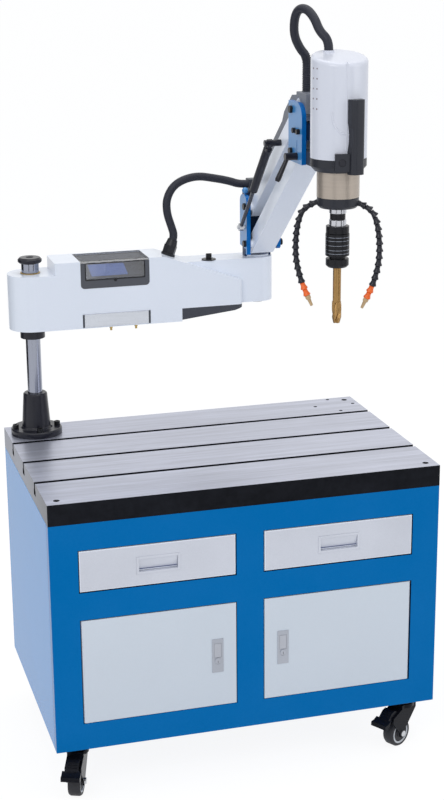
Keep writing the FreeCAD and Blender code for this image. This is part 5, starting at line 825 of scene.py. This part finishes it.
# Turret and upper bracket: pairs of thick blue steel cheeks held by shoulder bolts with blackened
# heads; their broad faces are painted a paler blue than the edges, as painted light.
# Painted light: the paler blue of the broad faces and of the plunger; the edges keep the true blue.
lit_cheek_blue = finish("lit_cheek_blue", (62, 134, 194), rough=0.30, grain=0.02, grain_size=200, bump=0.0,
                    coat=0.2)
edge_blue = finish("edge_blue", (0, 98, 176), rough=0.30, grain=0.02, grain_size=200, bump=0.0,
                   tint=(0.2, 0.6, 1.0))
# Painted shade: the faces between each pair of cheeks are a dark blue, for the shade between them.
between_cheeks_shade = finish("between_cheeks_shade", (24, 48, 84), grain_size=200, shine=0.2)
half_gap, flange_top = 0.0367, 1.2555
for name, node in (("turret_cheeks", "turret_bracket"), ("upper_cheeks", "upper_bracket")):
    cheeks = dressed(name, node, 0.0012, lit_cheek_blue)
    repainted(cheeks, edge_blue, lambda face: abs(face.normal.x) < 0.7)
    # The faces between the cheeks get the painted shade.
    repainted(cheeks, between_cheeks_shade, lambda face: abs(face.center.x - head_axis.x) < half_gap
              and face.normal.y < 0.5)
    repainted(cheeks, arm_white, lambda face: face.center.z < flange_top)
dressed("turret_bolt", "swivel_shaft", 0.0006, plated)
dressed("turret_bolts", "turret_pins", 0.0008, black_oxide)
dressed("bracket_bolts", "bracket_pins", 0.0008, black_oxide)
dressed("turret_junction", "turret_cable_box", 0.0015, trim_dark)
# The plunger is in the paler painted-light blue.
dressed("turret_lock", "turret_plunger", 0.0, lit_cheek_blue)
grey_box_finish = finish("grey_box_finish", (112, 116, 126), rough=0.42, grain=0.06, grain_size=240,
                         bump=0.03, shine=0.3)
dressed("cable_outlet", "cable_box", 0.0015, grey_box_finish)
dressed("tilt_handle", "clamp_lever", 0.0010, column_black)

# Balanced arm: two white cast links under a dark cable duct, with a black gas spring on ball
# studs at the left side.
rod_grey = finish("rod_grey", (84, 86, 92), rough=0.24, metal=0.7, grain=0.06, grain_size=200, bump=0.005)
upper_arm = dressed("upper_arm", "upper_link", 0.0020, arm_white, segments=3)
stud_x = 0.1612
repainted(upper_arm, column_black, lambda face: face.center.x < stud_x)
dressed("lower_arm", "lower_link", 0.0020, arm_white, segments=3)
dressed("cable_duct", "link_cover", 0.0020, grey_box_finish, segments=3)
dressed("spring_body", "gas_spring_cylinder", 0.0008, column_black)
spring_stem = dressed("spring_stem", "gas_spring_rod", 0.0004, rod_grey)
eye_height = 0.018
eye_top = min(face.center.z for face in spring_stem.data.polygons) + eye_height
repainted(spring_stem, plated, lambda face: face.center.z < eye_top)

# Tapping head: white moulded cover over the servo motor, dark base ring, clear-anodised gearbox,
# black lower ring, and a rubber grip with the start button in its own box.
cover_white = finish("cover_white", (216, 219, 230), rough=0.30, grain=0.008, grain_size=240, bump=0.0,
                     coat=0.2)
gearbox_tan = finish("gearbox_tan", (176, 165, 154), rough=0.34, metal=0.55, grain=0.06, grain_size=60,
                     bump=0.006, stretch=(1, 1, 30))
grip_rubber = finish("grip_rubber", (40, 42, 50), rough=0.36, grain=0.06, grain_size=400, shine=0.3)
cover_radius, crown_radius, crown_z = 0.06525, 0.009, 1.79
dressed("head_cover", "motor_cover", 0.0, cover_white, rounds=(
    (lambda spot, way: spot.z > crown_z and (spot.xy - head_axis.xy).length > 0.0630, crown_radius),))
vent_brown = finish("vent_brown", (96, 70, 66), rough=0.6, grain=0.1)


def on_cover(bearing, height, out=0.0):
    """A place on the round cover at a bearing in degrees."""
    angle = math.radians(bearing)
    radius = cover_radius + out
    return Vector((head_axis.x + radius * math.cos(angle), head_axis.y + radius * math.sin(angle), height))


vent_low, vent_step = 1.6935, 0.0224
holes = []
for bearing in (187, 200):
    for step in range(5):
        height = vent_low + vent_step * step
        foot_at = on_cover(bearing, height, -0.001)
        holes.append(lathe("vent", [(0, 0), (0.0019, 0), (0.0019, 0.0011), (0, 0.0011)], foot_at,
                           on_cover(bearing, height) - foot_at, 16, vent_brown))
vents = joined("cover_vents", holes)
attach(vents, "head")
seam_line = spline_of("seam_line", [on_cover(265.5, z, -0.0006) for z in (1.602, 1.67, 1.74, 1.800)])
seam = made_by(conduit, "cover_seam", seam_line, radius=0.0016, rib_pitch=0.02, rubber=cover_white)
swell_line = spline_of("swell_line", [on_cover(bearing, z, -0.0010) for bearing, z in (
    (236, 1.690), (237, 1.668), (246, 1.650), (256, 1.641), (268, 1.638), (284, 1.638))])
swell = made_by(conduit, "cover_swell", swell_line, radius=0.0028, rib_pitch=0.02, rubber=cover_white)
ridges = joined("cover_ridges", [seam, swell])
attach(ridges, "head")
dressed("tilt_mount", "tilt_block", 0.0015, trim_dark)
dressed("dark_rings", "head_rings", 0.0010, grip_rubber)
dressed("gearbox", "gearbox_body", 0.0006, gearbox_tan)
dressed("grip", "grip_bar", 0.0030, grip_rubber, segments=4)
dressed("start_key", "start_button", 0.0010, column_black)
in_finish("servo_motor", black_oxide)

# Spindle: ground steel nose with a blackened groove, quick-change chuck in black oxide with turned
# rings, and a gold-coated machine tap.
spindle_steel = finish("spindle_steel", (196, 198, 204), rough=0.2, metal=1.0, grain_size=120, bump=0.006,
                       stretch=(1, 1, 20))
tap_gold = finish("tap_gold", (160, 126, 78), rough=0.28, metal=0.85, grain=0.12, grain_size=120)
nose = dressed("spindle_nose", "spindle", 0.0006, spindle_steel)
chuck_top, groove_low, groove_high = 1.4212, 1.4362, 1.4502
repainted(nose, black_oxide,
          lambda face: face.center.z < chuck_top or groove_low < face.center.z < groove_high)
dressed("release_sleeve", "chuck_sleeve", 0.0008, black_oxide)
# Painted highlight: the turned rings on the black sleeve are a pale steel, standing in for the light they catch.
ring_highlight_steel = finish("ring_highlight_steel", (150, 156, 168), rough=0.25, metal=0.9, grain_size=200, bump=0.005)
bands = [lathe("chuck_line", [(0.0271, -0.0005), (0.0283, -0.0005), (0.0283, 0.0005), (0.0271, 0.0005)],
               (head_axis.x, head_axis.y, height), material=ring_highlight_steel, hoop=True)
         for height in (1.3960, 1.3880, 1.3770, 1.3660, 1.3580)]
sleeve_lines = joined("sleeve_lines", bands)
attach(sleeve_lines, body_holding["chuck_sleeve"])
tap_low, tap_neck, tap_top = 1.1890, 1.2405, 1.3630
sides, rings = 96, 104
lead, full_radius, lead_radius = 0.014, 0.0116, 0.0080
thread_pitch, thread_depth, twist, flute_depth = 0.003, 0.0009, 34, 0.42
form = bmesh.new()
loops = []
for k in range(rings + 1):
    climb = k / rings * (tap_neck - tap_low)
    body = full_radius if climb > lead else lead_radius + 0.0036 * climb / lead
    loop = []
    for i in range(sides):
        angle = 2 * math.pi * i / sides
        tooth = abs((climb / thread_pitch + i / sides) % 1 - 0.5) * 2
        flute = max(0.0, math.cos(3 * (angle - climb * twist)) - 0.15) / 0.85
        radius = (body - thread_depth * tooth) * (1 - flute_depth * flute ** 0.8)
        loop.append(form.verts.new((head_axis.x + radius * math.cos(angle),
                                    head_axis.y + radius * math.sin(angle), tap_low + climb)))
    loops.append(loop)
for below, above in zip(loops, loops[1:]):
    for i in range(sides):
        form.faces.new((below[i], below[(i + 1) % sides], above[(i + 1) % sides], above[i]))
form.faces.new(loops[0])
form.faces.new(loops[-1])
bmesh.ops.recalc_face_normals(form, faces=form.faces)
flutes = piece_of("flutes", form, tap_gold)
shank = lathe("shank", [(0, tap_neck - 0.002), (0.0090, tap_neck - 0.002), (0.0096, tap_neck + 0.001),
                        (0.0096, tap_top - 0.001), (0.0090, tap_top), (0, tap_top)],
              (head_axis.x, head_axis.y, 0), material=tap_gold)
cutter = joined("machine_tap", [shank, flutes])
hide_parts("tap")
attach(cutter, body_holding["tap"])
